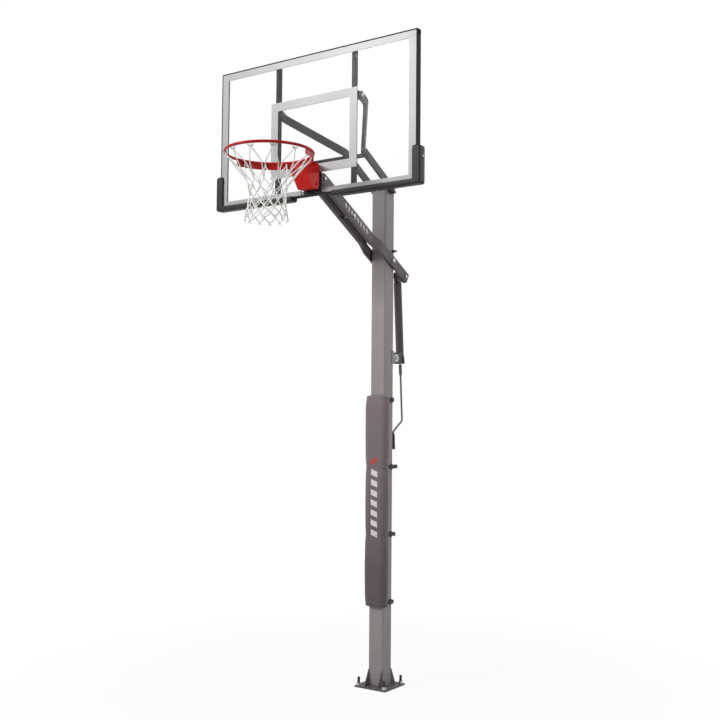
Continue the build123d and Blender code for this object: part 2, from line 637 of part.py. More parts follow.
with BuildPart() as rim_base_bracket:
    with BuildSketch(facing_plane(BOARD_FACE_Y)):
        with Locations((0, 2977.5)):
            Rectangle(2 * RIM_PLATE_HALF, 125)
        mount_holes(MOUNT_BOLT / 2 + 0.5)
    extrude(amount=RIM_PLATE_THICK)
    for x in (-RIM_PLATE_HALF, RIM_PLATE_HALF - 5):
        with BuildSketch(Plane.YZ.offset(x)):
            lug_profile(RIM_PLATE_FRONT_Y + 1, RIM_HINGE_Y, RIM_HINGE_Z, 16)
        extrude(amount=5)
    radius = 6.1
    bar_along_x(RIM_HINGE_Y, RIM_HINGE_Z, radius, -RIM_PLATE_HALF, RIM_PLATE_HALF, Mode.SUBTRACT)
    block(-38, 38, -812, RIM_PLATE_FRONT_Y + 1, SHELF_TOP - 4, SHELF_TOP)
    for x in (-38, 35):
        with BuildSketch(Plane.YZ.offset(x)):
            with BuildLine():
                Polyline(
                    (RIM_PLATE_FRONT_Y, SHELF_TOP),
                    (-808, SHELF_TOP),
                    (RIM_PLATE_FRONT_Y, SHELF_TOP + 40),
                    close=True,
                )
            make_face()
        extrude(amount=3)

with BuildPart() as rim_mount_bolts:
    for z in MOUNT_HOLE_LEVELS:
        back = BRACKET_BACK_Y if z < 3000 else RAIL_FRONT_Y
        for x in (-MOUNT_HOLE_X, MOUNT_HOLE_X):
            plane = Plane(origin=(x, RIM_PLATE_FRONT_Y, z), x_dir=(1, 0, 0), z_dir=(0, -1, 0))
            with BuildSketch(plane):
                RegularPolygon(8, 6, major_radius=False)
            extrude(amount=6)
            with BuildSketch(plane.offset(1)):
                Circle(MOUNT_BOLT / 2)
            extrude(amount=RIM_PLATE_FRONT_Y - 1 - back - 12)
            with BuildSketch(Plane(origin=(x, back + 8, z), x_dir=(1, 0, 0), z_dir=(0, -1, 0))):
                RegularPolygon(8, 6, major_radius=False)
                Circle(MOUNT_BOLT / 2 + RUNNING_GAP, mode=Mode.SUBTRACT)
            extrude(amount=8)

with BuildPart() as rim_hinge_pin:
    bar_along_x(RIM_HINGE_Y, RIM_HINGE_Z, 6, -58, 58)
    for x in (-59, 55):
        bar_along_x(RIM_HINGE_Y, RIM_HINGE_Z, 9.5, x, x + 4)

with BuildPart() as rim_springs:
    wire = 4.0
    base = SHELF_TOP + wire / 2 + 0.3
    height = TOP_PLATE_BOTTOM - SHELF_TOP - wire - 1
    for x in (-SPRING_X, SPRING_X):
        with BuildLine(Plane((x, SPRING_Y, base))) as coil:
            Helix(pitch=height / 5, height=height, radius=11)
        with BuildSketch(Plane(origin=coil.edges()[0] @ 0, z_dir=coil.edges()[0] % 0)):
            Circle(wire / 2)
        sweep(path=coil.edges()[0], is_frenet=True)

# ================================================================ rim, swinging half
COVER_HALF = 54.0
COVER_WALL = 3.0
COVER_FRONT_Y = -868.0
COVER_FOOT_Y = -795.0
COVER_BOTTOM = 2908.0
COVER_KNEE = 3003.0
STRAP_TALL = 28.0
STRAP_THICK = 5.0

with BuildPart() as rim_ring:
    with BuildSketch(Plane(origin=(0, RING_Y, RING_Z), x_dir=(0, 1, 0), z_dir=(1, 0, 0))):
        with Locations((RING_RADIUS, 0)):
            Circle(RING_BAR / 2)
    revolve(axis=Axis((0, RING_Y, RING_Z), (0, 0, 1)))

with BuildPart() as rim_brace:
    strap_top = RING_Z - RING_BAR / 2
    with BuildSketch(Plane.XY.offset(strap_top - STRAP_TALL)):
        with Locations((0, RING_Y)):
            Circle(RING_RADIUS + STRAP_THICK / 2)
            Circle(RING_RADIUS - STRAP_THICK / 2, mode=Mode.SUBTRACT)
        with Locations((0, RING_Y - RING_RADIUS + 12)):
            Rectangle(4 * RING_RADIUS, 2 * RING_RADIUS, mode=Mode.SUBTRACT)
    extrude(amount=STRAP_TALL)

STRAP_OUTER = RING_RADIUS + STRAP_THICK / 2

with BuildPart() as rim_top_plate:
    with BuildSketch(Plane.XY.offset(TOP_PLATE_BOTTOM)):
        with BuildLine():
            Polyline((-COVER_HALF, -739), (-95, -885), (95, -885), (COVER_HALF, -739), close=True)
        make_face()
        with Locations((0, RING_Y)):
            Circle(RING_RADIUS + RING_BAR / 2, mode=Mode.SUBTRACT)
    extrude(amount=RING_TOP - TOP_PLATE_BOTTOM)


def cover_profile(inset):
    """Side profile of the spring cover, from the board to the sloped front, moved in by inset."""
    with BuildLine() as outline:
        Polyline(
            (-738.5 + 3 * inset, TOP_PLATE_BOTTOM + inset),
            (COVER_FRONT_Y + inset, TOP_PLATE_BOTTOM + inset),
            (COVER_FRONT_Y + inset, COVER_KNEE + inset / 3),
            (COVER_FOOT_Y + inset, COVER_BOTTOM + inset),
            (-746 + 3 * inset, COVER_BOTTOM + inset),
            (-738.5 + 3 * inset, RIM_HINGE_Z),
            close=True,
        )
    make_face(outline.edges())


with BuildPart() as rim_cover:
    with BuildSketch(Plane.YZ):
        cover_profile(0)
    extrude(amount=COVER_HALF, both=True)
    with BuildSketch(Plane.YZ):
        cover_profile(COVER_WALL)
    extrude(amount=COVER_HALF - COVER_WALL, both=True, mode=Mode.SUBTRACT)
    block(-60, 60, -751, -700, 2890, RIM_HINGE_Z - 21, Mode.SUBTRACT)
    for x in (-COVER_HALF, COVER_HALF - COVER_WALL):
        block(x, x + COVER_WALL, -890, COVER_FRONT_Y + 1, COVER_KNEE, TOP_PLATE_BOTTOM)
    with BuildSketch(Plane.XY.offset(COVER_BOTTOM)):
        with Locations((0, RING_Y)):
            Circle(RING_RADIUS + RING_BAR / 2 + 0.1)
    extrude(amount=200, mode=Mode.SUBTRACT)
    reach = COVER_HALF + 1
    bar_along_x(RIM_HINGE_Y, RIM_HINGE_Z, 6 + RUNNING_GAP, -reach, reach, Mode.SUBTRACT)

HOOK_COUNT = 12
HOOK_RADIUS = RING_RADIUS - 7
with BuildPart() as net_hooks:
    for index in range(HOOK_COUNT):
        angle = 15 + index * 360 / HOOK_COUNT
        c = math.cos(math.radians(angle))
        s = math.sin(math.radians(angle))
        spot = Plane(
            origin=(HOOK_RADIUS * c, RING_Y + HOOK_RADIUS * s, RING_Z),
            x_dir=(-s, c, 0),
            z_dir=(c, s, 0),
        )
        with BuildLine(spot) as wire_line:
            FilletPolyline((-17, -8.6), (-11, -20), (0, -14), (11, -20), (17, -8.6), radius=3)
        with BuildSketch(Plane(origin=wire_line.wires()[0] @ 0, z_dir=wire_line.wires()[0] % 0)):
            Circle(1.8)
        sweep(path=wire_line.wires()[0])

NET_OUTLINE = ((3012, 218), (2950, 160), (2900, 124), (2840, 105), (2760, 112), (2700, 130), (2662, 142))
with BuildPart() as net:
    thick = 5.0
    with BuildSketch(Plane(origin=(0, RING_Y, 0), x_dir=(1, 0, 0), z_dir=(0, -1, 0))):
        with BuildLine():
            outside = [(r, z) for z, r in NET_OUTLINE]
            inside = [(r - thick, z) for z, r in reversed(NET_OUTLINE)]
            Polyline(*outside, *inside, close=True)
        make_face()
    revolve(axis=Axis((0, RING_Y, 0), (0, 0, 1)))

# ================================================================ lifting jack
TUBE_RADIUS = 25.0
TUBE_BORE = 21.5
INNER_RADIUS = 21.0
INNER_BORE = 17.0
SCREW_RADIUS = 10.0
JOURNAL_RADIUS = 6.25
TUBE_TOP = 476.0
TUBE_BOTTOM = -34.0
CAP_BOTTOM = -38.0
LUG_BOTTOM = 480.0
LUG_TOP = 545.0
SLOT_CENTRE = 4.87
SLOT_LENGTH = 36.0
SLOT_TALL = 16.0
TAIL_PIN_LEVEL = 512.1


def tube_along_jack(low, high, outer, bore):
    """Round tube on the jack's axis."""
    with BuildSketch(jack_section(low)) as section:
        Circle(outer)
        if bore:
            Circle(bore, mode=Mode.SUBTRACT)
    extrude(section.sketch, amount=high - low)


with BuildPart() as jack_tube:
    tube_along_jack(TUBE_BOTTOM, TUBE_TOP, TUBE_RADIUS, TUBE_BORE)

with BuildPart() as jack_lug:
    for x in (-23.4, 17.4):
        with BuildSketch(JACK_SIDE.offset(x)) as lug_face:
            with BuildLine():
                reach = -JACK_OFFSET
                Polyline((0, -36), (-30, -36), (reach, -18), (reach, 18), (-30, 36), (0, 36), close=True)
            make_face()
            with Locations((-JACK_OFFSET, 0)):
                Circle(18)
                Circle(JACK_PIVOT_DIAMETER / 2 + RUNNING_GAP, mode=Mode.SUBTRACT)
        extrude(amount=6)
    with BuildSketch(jack_section(-60)):
        Circle(TUBE_RADIUS)
    extrude(amount=150, mode=Mode.SUBTRACT)
    with BuildSketch(jack_section(-60)):
        Circle(30)
    extrude(amount=72.5, mode=Mode.SUBTRACT)

with BuildPart() as jack_end_cap:
    with BuildSketch(JACK_SIDE):
        with BuildLine():
            Polyline(
                (JOURNAL_RADIUS + RUNNING_GAP, CAP_BOTTOM),
                (29.5, CAP_BOTTOM),
                (29.5, CAP_BOTTOM + 5),
                (26.6, 12),
                (TUBE_RADIUS, 12),
                (TUBE_RADIUS, TUBE_BOTTOM),
                (JOURNAL_RADIUS + RUNNING_GAP, TUBE_BOTTOM),
                close=True,
            )
        make_face()
    revolve(axis=JACK_AXIS)

with BuildPart() as jack_inner_tube:
    tube_along_jack(20, LUG_BOTTOM, INNER_RADIUS, INNER_BORE)

with BuildPart() as jack_nut:
    tube_along_jack(22, 52, INNER_BORE, SCREW_RADIUS + 0.08)

with BuildPart() as jack_top_lug:
    with BuildSketch(JACK_SIDE) as lug_outline:
        with Locations((SLOT_CENTRE, (LUG_BOTTOM + LUG_TOP) / 2)):
            RectangleRounded(SLOT_LENGTH + 13, LUG_TOP - LUG_BOTTOM, 8)
        with Locations((SLOT_CENTRE, TAIL_PIN_LEVEL)):
            SlotOverall(SLOT_LENGTH, SLOT_TALL, mode=Mode.SUBTRACT)
    extrude(amount=15, both=True)

with BuildPart() as jack_screw:
    tube_along_jack(TUBE_BOTTOM + 1, 430, SCREW_RADIUS, 0)
    tube_along_jack(CAP_BOTTOM - 6, TUBE_BOTTOM + 2, JOURNAL_RADIUS, 0)

JOINT_TOP = CAP_BOTTOM - 6
with BuildPart() as crank_joint:
    tube_along_jack(JOINT_TOP - 64, JOINT_TOP, 10, 0)
    for plane in (JACK_SIDE, JACK_SIDE.rotated((0, 90, 0))):
        with BuildSketch(plane):
            for side in (-1, 1):
                with Locations((side * 10, JOINT_TOP - 32)):
                    Rectangle(7, 22)
        extrude(amount=4.5, both=True, mode=Mode.SUBTRACT)
    fillet(crank_joint.edges().filter_by(GeomType.CIRCLE).sort_by(Axis.Z)[-1], 2)

CRANK_THROW = 108.0
CRANK_BEND = -400.0
CRANK_HANDLE_TOP = -460.0
CRANK_END = -566.0
ROD_RADIUS = 6.0

with BuildPart() as crank_rod:
    with BuildLine(JACK_SIDE) as rod_line:
        FilletPolyline(
            (0, JOINT_TOP - 64),
            (0, CRANK_BEND),
            (-CRANK_THROW, CRANK_HANDLE_TOP),
            (-CRANK_THROW, CRANK_END),
            radius=20,
        )
    with BuildSketch(Plane(origin=rod_line.wires()[0] @ 0, z_dir=rod_line.wires()[0] % 0)):
        Circle(ROD_RADIUS)
    sweep(path=rod_line.wires()[0])

with BuildPart() as crank_grip:
    grip_axis = Axis(JACK_SIDE.from_local_coords((-CRANK_THROW, 0, 0)), JACK_AXIS.direction)
    bore = ROD_RADIUS + 0.08
    with BuildSketch(JACK_SIDE):
        with BuildLine():
            Polyline(
                (-CRANK_THROW - bore, CRANK_HANDLE_TOP - 13),
                (-CRANK_THROW - 8.6, CRANK_HANDLE_TOP - 13),
                (-CRANK_THROW - 8.6, CRANK_HANDLE_TOP - 17),
                (-CRANK_THROW - 9.6, CRANK_HANDLE_TOP - 22),
                (-CRANK_THROW - 9.6, CRANK_END),
                (-CRANK_THROW - 8, CRANK_END - 5),
                (-CRANK_THROW, CRANK_END - 5),
                (-CRANK_THROW, CRANK_END - 0.5),
                (-CRANK_THROW - bore, CRANK_END - 0.5),
                close=True,
            )
        make_face()
    revolve(axis=grip_axis)

# ================================================================ output
PIECES = {
    "base_plate": base_plate,
    "base_gussets": base_gussets,
    "anchor_studs": anchor_studs,
    "anchor_nuts": anchor_nuts,
    "pole_tube": pole_tube,
    "pole_cap": pole_cap,
    "lower_pivot_bolt": lower_pivot_bolt,
    "upper_pivot_bolt": upper_pivot_bolt,
    "stop_bolt": stop_bolt,
    "pole_pad": pole_pad,
    "pad_ties": pad_ties,
    "tie_knots": tie_knots,
    "jack_bracket": jack_bracket,
    "jack_pivot_discs": jack_pivot_discs,
    "jack_pivot_bolt": jack_pivot_bolt,
    "lower_arm_right": lower_arm_right,
    "lower_arm_left": lower_arm_left,
    "lower_arm_spacer": lower_arm_spacer,
    "lower_arm_bushings": lower_arm_bushings,
    "jack_top_bolt": jack_top_bolt,
    "upper_arm_right": upper_arm_right,
    "upper_arm_left": upper_arm_left,
    "upper_arm_spacer": upper_arm_spacer,
    "upper_arm_bushings": upper_arm_bushings,
    "backboard_glass": backboard_glass,
    "glass_gasket": glass_gasket,
    "frame_left": frame_left,
    "frame_right": frame_right,
    "frame_top": frame_top,
    "frame_bottom": frame_bottom,
    "board_posts": board_posts,
    "crossbar": crossbar,
    "centre_plate": centre_plate,
    "lower_brackets": lower_brackets,
    "upper_brackets": upper_brackets,
    "lower_board_bolt": lower_board_bolt,
    "upper_board_bolts": upper_board_bolts,
    "board_pad_left": board_pad_left,
    "board_pad_right": board_pad_right,
    "rim_base_bracket": rim_base_bracket,
    "rim_mount_bolts": rim_mount_bolts,
    "rim_hinge_pin": rim_hinge_pin,
    "rim_springs": rim_springs,
    "rim_ring": rim_ring,
    "rim_brace": rim_brace,
    "rim_top_plate": rim_top_plate,
    "rim_cover": rim_cover,
    "net_hooks": net_hooks,
    "net": net,
    "jack_tube": jack_tube,
    "jack_lug": jack_lug,
    "jack_end_cap": jack_end_cap,
    "jack_inner_tube": jack_inner_tube,
    "jack_nut": jack_nut,
    "jack_top_lug": jack_top_lug,
    "jack_screw": jack_screw,
    "crank_joint": crank_joint,
    "crank_rod": crank_rod,
    "crank_grip": crank_grip,
}

os.makedirs("parts", exist_ok=True)
for name, piece in PIECES.items():
    piece.part.label = name
    export_step(piece.part, f"parts/{name}.step")
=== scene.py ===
"""Surfaces, soft pieces, finishes and studio for a bolt-down basketball hoop with a lifting backboard.

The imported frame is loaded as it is. This file adds the knotted net, the foam pads, their straps,
the rim's springs and the weld beads, paints every node, and sets up a pale studio. Lengths are in
metres, +Z is up, and the backboard faces -Y.
"""

import json
import math

import bmesh
import bpy
import numpy as np
from bpy.props import FloatProperty, FloatVectorProperty, IntProperty, PointerProperty
from mathutils import Matrix, Vector


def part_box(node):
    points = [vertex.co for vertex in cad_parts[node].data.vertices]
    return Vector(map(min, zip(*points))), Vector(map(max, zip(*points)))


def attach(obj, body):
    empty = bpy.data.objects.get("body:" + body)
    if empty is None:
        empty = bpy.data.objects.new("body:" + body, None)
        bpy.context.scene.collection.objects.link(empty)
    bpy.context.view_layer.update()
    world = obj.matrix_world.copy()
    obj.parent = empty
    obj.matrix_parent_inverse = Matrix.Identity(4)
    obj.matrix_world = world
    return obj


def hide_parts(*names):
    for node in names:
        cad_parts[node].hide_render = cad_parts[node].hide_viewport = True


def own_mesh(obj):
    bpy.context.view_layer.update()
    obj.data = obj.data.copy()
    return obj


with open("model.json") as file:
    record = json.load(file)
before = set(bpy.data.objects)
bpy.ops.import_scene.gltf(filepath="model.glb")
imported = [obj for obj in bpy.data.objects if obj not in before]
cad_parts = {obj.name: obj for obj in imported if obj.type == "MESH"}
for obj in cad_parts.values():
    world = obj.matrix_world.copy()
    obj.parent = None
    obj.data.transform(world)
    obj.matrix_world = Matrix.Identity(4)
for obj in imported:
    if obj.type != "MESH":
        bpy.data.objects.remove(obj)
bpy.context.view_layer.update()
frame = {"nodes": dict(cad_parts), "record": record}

bl_info = {
    "name": "Basketball Hoop Dresser",
    "version": (1, 0, 0),
    "blender": (4, 5, 0),
    "location": "3D View > Sidebar > Hoop",
    "description": "Net, pads, straps, welds, springs and finishes for a bolt-down basketball hoop",
    "category": "Object",
}

MM = 0.001


def span(node):
    """Lowest corner, highest corner and middle of a frame node as arrays."""
    low, high = (np.array(corner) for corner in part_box(node))
    return low, high, (low + high) / 2


RING_LOW, RING_HIGH, RING_MIDDLE = span("rim_ring")
HOOK_LOW = span("net_hooks")[0]
NET_LOW = span("net")[0]
PAD_LOW, PAD_HIGH, _ = span("pole_pad")
GLASS_LOW, GLASS_HIGH, GLASS_MIDDLE = span("backboard_glass")
TIE_LOW, TIE_HIGH, _ = span("pad_ties")
POLE_HALF = span("pole_tube")[1][0]


# ---------------------------------------------------------------- settings
class HoopSizes(bpy.types.PropertyGroup):
    cord_diameter: FloatProperty(
        name="Net cord", description="Diameter of the net's braided cord",
        default=6 * MM, unit="LENGTH",
    )
    loops: IntProperty(name="Net loops", description="Loops of cord, one on each hook", default=12)
    knot_shift: FloatProperty(
        name="Knot shift", description="How far a knot strays from its even place",
        default=4 * MM, unit="LENGTH",
    )
    strap_width: FloatProperty(
        name="Strap width", description="Width of the webbing that ties the pole pad",
        default=24 * MM, unit="LENGTH",
    )
    pad_edge: FloatProperty(
        name="Pad edge", description="Radius of the pole pad's rounded ends",
        default=9 * MM, unit="LENGTH",
    )
    bead: FloatProperty(
        name="Weld bead", description="Radius of the weld beads", default=3.2 * MM, unit="LENGTH"
    )


class HoopColours(bpy.types.PropertyGroup):
    pole: FloatVectorProperty(
        name="Pole paint", description="Satin powder coat of the pole",
        default=(0.31, 0.279, 0.28), subtype="COLOR",
    )
    arms: FloatVectorProperty(
        name="Arm paint", description="Satin powder coat of the arms",
        default=(0.13, 0.116, 0.114), subtype="COLOR",
    )
    board: FloatVectorProperty(
        name="Board frame", description="Powder coat of the board's frame",
        default=(0.011, 0.0105, 0.01), subtype="COLOR",
    )
    rim: FloatVectorProperty(
        name="Rim paint", description="Gloss paint of the rim",
        default=(0.66, 0.012, 0.009), subtype="COLOR",
    )
    pad: FloatVectorProperty(
        name="Pole pad", description="Coated fabric of the pole pad",
        default=(0.168, 0.131, 0.145), subtype="COLOR",
    )
    rubber: FloatVectorProperty(
        name="Board pads", description="Moulded foam on the board's corners",
        default=(0.016, 0.0125, 0.0125), subtype="COLOR",
    )
    print_white: FloatVectorProperty(
        name="Printed lines", description="White ink on the glass",
        default=(0.37, 0.365, 0.375), subtype="COLOR",
    )
    cord: FloatVectorProperty(
        name="Net cord", description="Braided nylon of the net",
        default=(0.93, 0.92, 0.9), subtype="COLOR",
    )


def sizes():
    return bpy.context.scene.hoop_sizes


def colours():
    return bpy.context.scene.hoop_colours


# ---------------------------------------------------------------- meshes from arrays
def unit(vectors):
    """Vectors scaled to length one."""
    return vectors / np.maximum(np.linalg.norm(vectors, axis=-1, keepdims=True), 1e-12)


def lattice(rows, columns, round_trip=True):
    """Quads between the rows of a grid; with round_trip the last column joins the first."""
    i, j = np.meshgrid(np.arange(rows - 1), np.arange(columns if round_trip else columns - 1), indexing="ij")
    k = (j + 1) % columns
    corners = [i * columns + j, i * columns + k, (i + 1) * columns + k, (i + 1) * columns + j]
    return np.stack(corners, -1).reshape(-1, 4)


def lattice_uv(along, columns, round_trip=True):
    """Corner coordinates for lattice(): along each row's length first, then from 0 to 1 around."""
    rows = len(along)
    count = columns if round_trip else columns - 1
    i, j = np.meshgrid(np.arange(rows - 1), np.arange(count), indexing="ij")
    s = np.asarray(along, float)
    around = [j / count, (j + 1) / count, (j + 1) / count, j / count]
    length = [s[i], s[i], s[i + 1], s[i + 1]]
    return np.stack([np.stack(length, -1), np.stack(around, -1)], -1).reshape(-1, 4, 2)


def lengths(path):
    """Distance along a path to each of its points."""
    steps = np.linalg.norm(np.diff(path, axis=0), axis=1)
    return np.concatenate([[0.0], np.cumsum(steps)])


def even(path, count):
    """The same line with its points spread evenly along it."""
    s = lengths(path)
    at = np.linspace(0, s[-1], count)
    return np.stack([np.interp(at, s, path[:, axis]) for axis in range(path.shape[1])], -1)


def flowing(points, pieces):
    """Catmull-Rom curve: each span is the cubic through its two points whose slope at a point is
    half the step between that point's neighbours."""
    p = np.concatenate([[2 * points[0] - points[1]], points, [2 * points[-1] - points[-2]]])
    t = np.linspace(0, 1, pieces, endpoint=False)[None, :, None]
    a, b, c, d = (p[k : len(p) - 3 + k, None, :] for k in range(4))
    cubic = 2 * b + (c - a) * t + (2 * a - 5 * b + 4 * c - d) * t**2 + (3 * b - 3 * c + d - a) * t**3
    return np.concatenate([(cubic / 2).reshape(-1, points.shape[1]), points[-1:]])


class Shape:
    """Points, faces and face corners' UVs gathered from several surfaces."""

    def __init__(self):
        self.points, self.faces, self.corners, self.count = [], [], [], 0

    def add(self, points, faces, uv):
        self.points.append(points)
        self.faces.extend((faces + self.count).tolist())
        self.corners.append(uv.reshape(-1, 2))
        self.count += len(points)

    def tube(self, path, radius, guide, sides=8):
        """Round tube: ring = path + radius (N cos a + B sin a), with N the guide turned square to
        the path, B = T x N, and a fan at each end."""
        path = np.asarray(path, float)
        tangent = unit(np.gradient(path, axis=0))
        guide = np.broadcast_to(np.asarray(guide, float), path.shape)
        normal = unit(guide - tangent * np.sum(guide * tangent, -1, keepdims=True))
        side = np.cross(tangent, normal)
        angle = np.linspace(0, 2 * np.pi, sides, endpoint=False)[None, :, None]
        radius = np.broadcast_to(np.asarray(radius, float), len(path))[:, None, None]
        ring = np.cos(angle) * normal[:, None] + np.sin(angle) * side[:, None]
        self.profile(path, path[:, None] + radius * ring)

    def profile(self, path, rings, flat_ends=False):
        """Closed rings in rows along a path, with a fan of triangles or one face over each end."""
        rows, columns = rings.shape[:2]
        s = lengths(path)
        if flat_ends:
            base = self.count
            self.add(rings.reshape(-1, 3), lattice(rows, columns), lattice_uv(s, columns))
            k = np.arange(columns)
            self.faces.extend([(base + k[::-1]).tolist(), (base + (rows - 1) * columns + k).tolist()])
            self.corners.append(np.zeros((2 * columns, 2)))
            return
        ends = np.stack([rings[0].mean(0), rings[-1].mean(0)])
        base = self.count
        points = np.concatenate([rings.reshape(-1, 3), ends])
        self.add(points, lattice(rows, columns), lattice_uv(s, columns))
        k = np.arange(columns)
        nxt = (k + 1) % columns
        hub = np.full(columns, rows * columns)
        last = (rows - 1) * columns
        fans = np.concatenate([np.stack([hub, nxt, k], -1), np.stack([hub + 1, last + k, last + nxt], -1)])
        self.faces.extend((fans + base).tolist())
        flat = np.zeros((2 * columns, 3, 2))
        flat[:, :, 0] = np.repeat([s[0], s[-1]], columns)[:, None]
        flat[:, :, 1] = np.tile(k / columns, 2)[:, None]
        self.corners.append(flat.reshape(-1, 2))

    def beads(self, centres, radii, sides=8, rows=6):
        """One ellipsoid round each centre: centre + radii (sin b cos a, sin b sin a, cos b)."""
        b = np.linspace(0.25, np.pi - 0.25, rows)[:, None]
        a = np.linspace(0, 2 * np.pi, sides, endpoint=False)[None, :]
        ball = np.stack([np.sin(b) * np.cos(a), np.sin(b) * np.sin(a), -np.cos(b) + 0 * a], -1)
        ball = np.concatenate([ball.reshape(-1, 3), [[0, 0, -1], [0, 0, 1]]]) * radii
        quads = lattice(rows, sides)
        k = np.arange(sides)
        nxt = (k + 1) % sides
        last = (rows - 1) * sides
        hub = np.full(sides, rows * sides)
        fans = np.concatenate([np.stack([hub, nxt, k], -1), np.stack([hub + 1, last + k, last + nxt], -1)])
        step = np.arange(len(centres))[:, None, None] * len(ball)
        points = (centres[:, None] + ball[None]).reshape(-1, 3)
        self.add(points, (quads[None] + step).reshape(-1, 4), np.zeros((len(centres) * len(quads), 4, 2)))
        self.faces.extend(((fans[None] + step).reshape(-1, 3) + self.count - len(points)).tolist())
        self.corners.append(np.zeros((len(centres) * len(fans) * 3, 2)))

    def build(self, name, sharp=None, merge=None):
        """The gathered surfaces as one object, smooth except where faces meet more sharply than sharp."""
        mesh = bpy.data.meshes.new(name)
        mesh.from_pydata(np.concatenate(self.points).tolist(), [], self.faces)
        mesh.uv_layers.new(name="UVMap")
        mesh.uv_layers[0].data.foreach_set("uv", np.concatenate(self.corners).astype(np.float32).ravel())
        mesh.polygons.foreach_set("use_smooth", np.ones(len(mesh.polygons), bool))
        if merge:
            work = bmesh.new()
            work.from_mesh(mesh)
            bmesh.ops.remove_doubles(work, verts=work.verts, dist=merge)
            bmesh.ops.recalc_face_normals(work, faces=work.faces)
            work.to_mesh(mesh)
            work.free()
        if sharp is not None:
            mesh.set_sharp_from_angle(angle=math.radians(sharp))
        mesh.update()
        made = bpy.data.objects.new(name, mesh)
        bpy.context.scene.collection.objects.link(made)
        return made


# ---------------------------------------------------------------- shader expressions
class Signal:
    """A number, colour or vector that runs between nodes; arithmetic on it adds Math nodes."""

    def __init__(self, tree, socket):
        self.tree, self.socket = tree, socket

    def math(self, operation, *others):
        inputs = {k: v for k, v in enumerate((self, *others))}
        return self.tree.node("ShaderNodeMath", {"operation": operation}, inputs)

    def flipped(self, operation, other):
        return self.tree.node("ShaderNodeMath", {"operation": operation}, {0: other, 1: self})

    def __add__(self, other):
        return self.math("ADD", other)

    __radd__ = __add__

    def __mul__(self, other):
        return self.math("MULTIPLY", other)

    __rmul__ = __mul__

    def __sub__(self, other):
        return self.math("SUBTRACT", other)

    def __rsub__(self, other):
        return self.flipped("SUBTRACT", other)

    def __truediv__(self, other):
        return self.math("DIVIDE", other)

    def __rtruediv__(self, other):
        return self.flipped("DIVIDE", other)

    def __lt__(self, other):
        return self.math("LESS_THAN", other)

    def __gt__(self, other):
        return self.math("GREATER_THAN", other)

    def __abs__(self):
        return self.math("ABSOLUTE")

    def both(self, other):
        return self.math("MINIMUM", other)

    def either(self, other):
        return self.math("MAXIMUM", other)

    def wave(self, period):
        """Sine of the value, one turn for each period, from 0 to 1."""
        return (self * (2 * math.pi / period)).math("SINE") * 0.5 + 0.5

    def repeat(self, period):
        return (self / period).math("FRACT")

    def smooth(self, low, high):
        """0 below low, 1 above high, and an S-curve between."""
        settings = {"interpolation_type": "SMOOTHSTEP"}
        inputs = {"Value": self, "From Min": low, "From Max": high}
        return self.tree.node("ShaderNodeMapRange", settings, inputs)


class Finish:
    """The node tree of a new material, or of a world, with one method that adds any node."""

    def __init__(self, name, world=None):
        self.material = None if world else bpy.data.materials.new(name)
        owner = world or self.material
        owner.use_nodes = True
        self.nodes, self.links = owner.node_tree.nodes, owner.node_tree.links
        self.nodes.clear()
        kind = "ShaderNodeOutputWorld" if world else "ShaderNodeOutputMaterial"
        self.sheet = self.node(kind, output=None)

    def node(self, kind, settings=None, inputs=None, output=0):
        made = self.nodes.new(kind)
        for key, value in (settings or {}).items():
            setattr(made, key, value)
        for key, value in (inputs or {}).items():
            if isinstance(value, Signal):
                self.links.new(value.socket, made.inputs[key])
            else:
                made.inputs[key].default_value = value
        return made if output is None else Signal(self, made.outputs[output])

    def place(self):
        """Object coordinates, whole and split into X, Y and Z."""
        whole = self.node("ShaderNodeTexCoord", output="Object")
        parts = self.node("ShaderNodeSeparateXYZ", inputs={0: whole}, output=None)
        return whole, *(Signal(self, socket) for socket in parts.outputs)

    def uv(self):
        parts = self.node("ShaderNodeSeparateXYZ", inputs={0: self.node("ShaderNodeUVMap")}, output=None)
        return Signal(self, parts.outputs[0]), Signal(self, parts.outputs[1])

    def noise(self, at, scale, detail=3.0, roughness=0.5):
        inputs = {"Vector": at, "Scale": scale, "Detail": detail, "Roughness": roughness}
        return self.node("ShaderNodeTexNoise", inputs=inputs)

    def mix(self, share, first, second):
        """First colour where share is 0, second where it is 1."""
        first = first if isinstance(first, Signal) else (*first, 1)
        second = second if isinstance(second, Signal) else (*second, 1)
        return self.node("ShaderNodeMix", {"data_type": "RGBA"}, {0: share, 6: first, 7: second}, output=2)

    def bump(self, height, distance, strength=1.0):
        inputs = {"Height": height, "Distance": distance, "Strength": strength}
        return self.node("ShaderNodeBump", inputs=inputs)

    def close(self, inputs):
        """Ends the tree in one Principled surface."""
        surface = self.node("ShaderNodeBsdfPrincipled", inputs=inputs)
        self.links.new(surface.socket, self.sheet.inputs["Surface"])
        return self.material


def tint(colour, by):
    return tuple(min(1.0, part * by) for part in colour[:3])


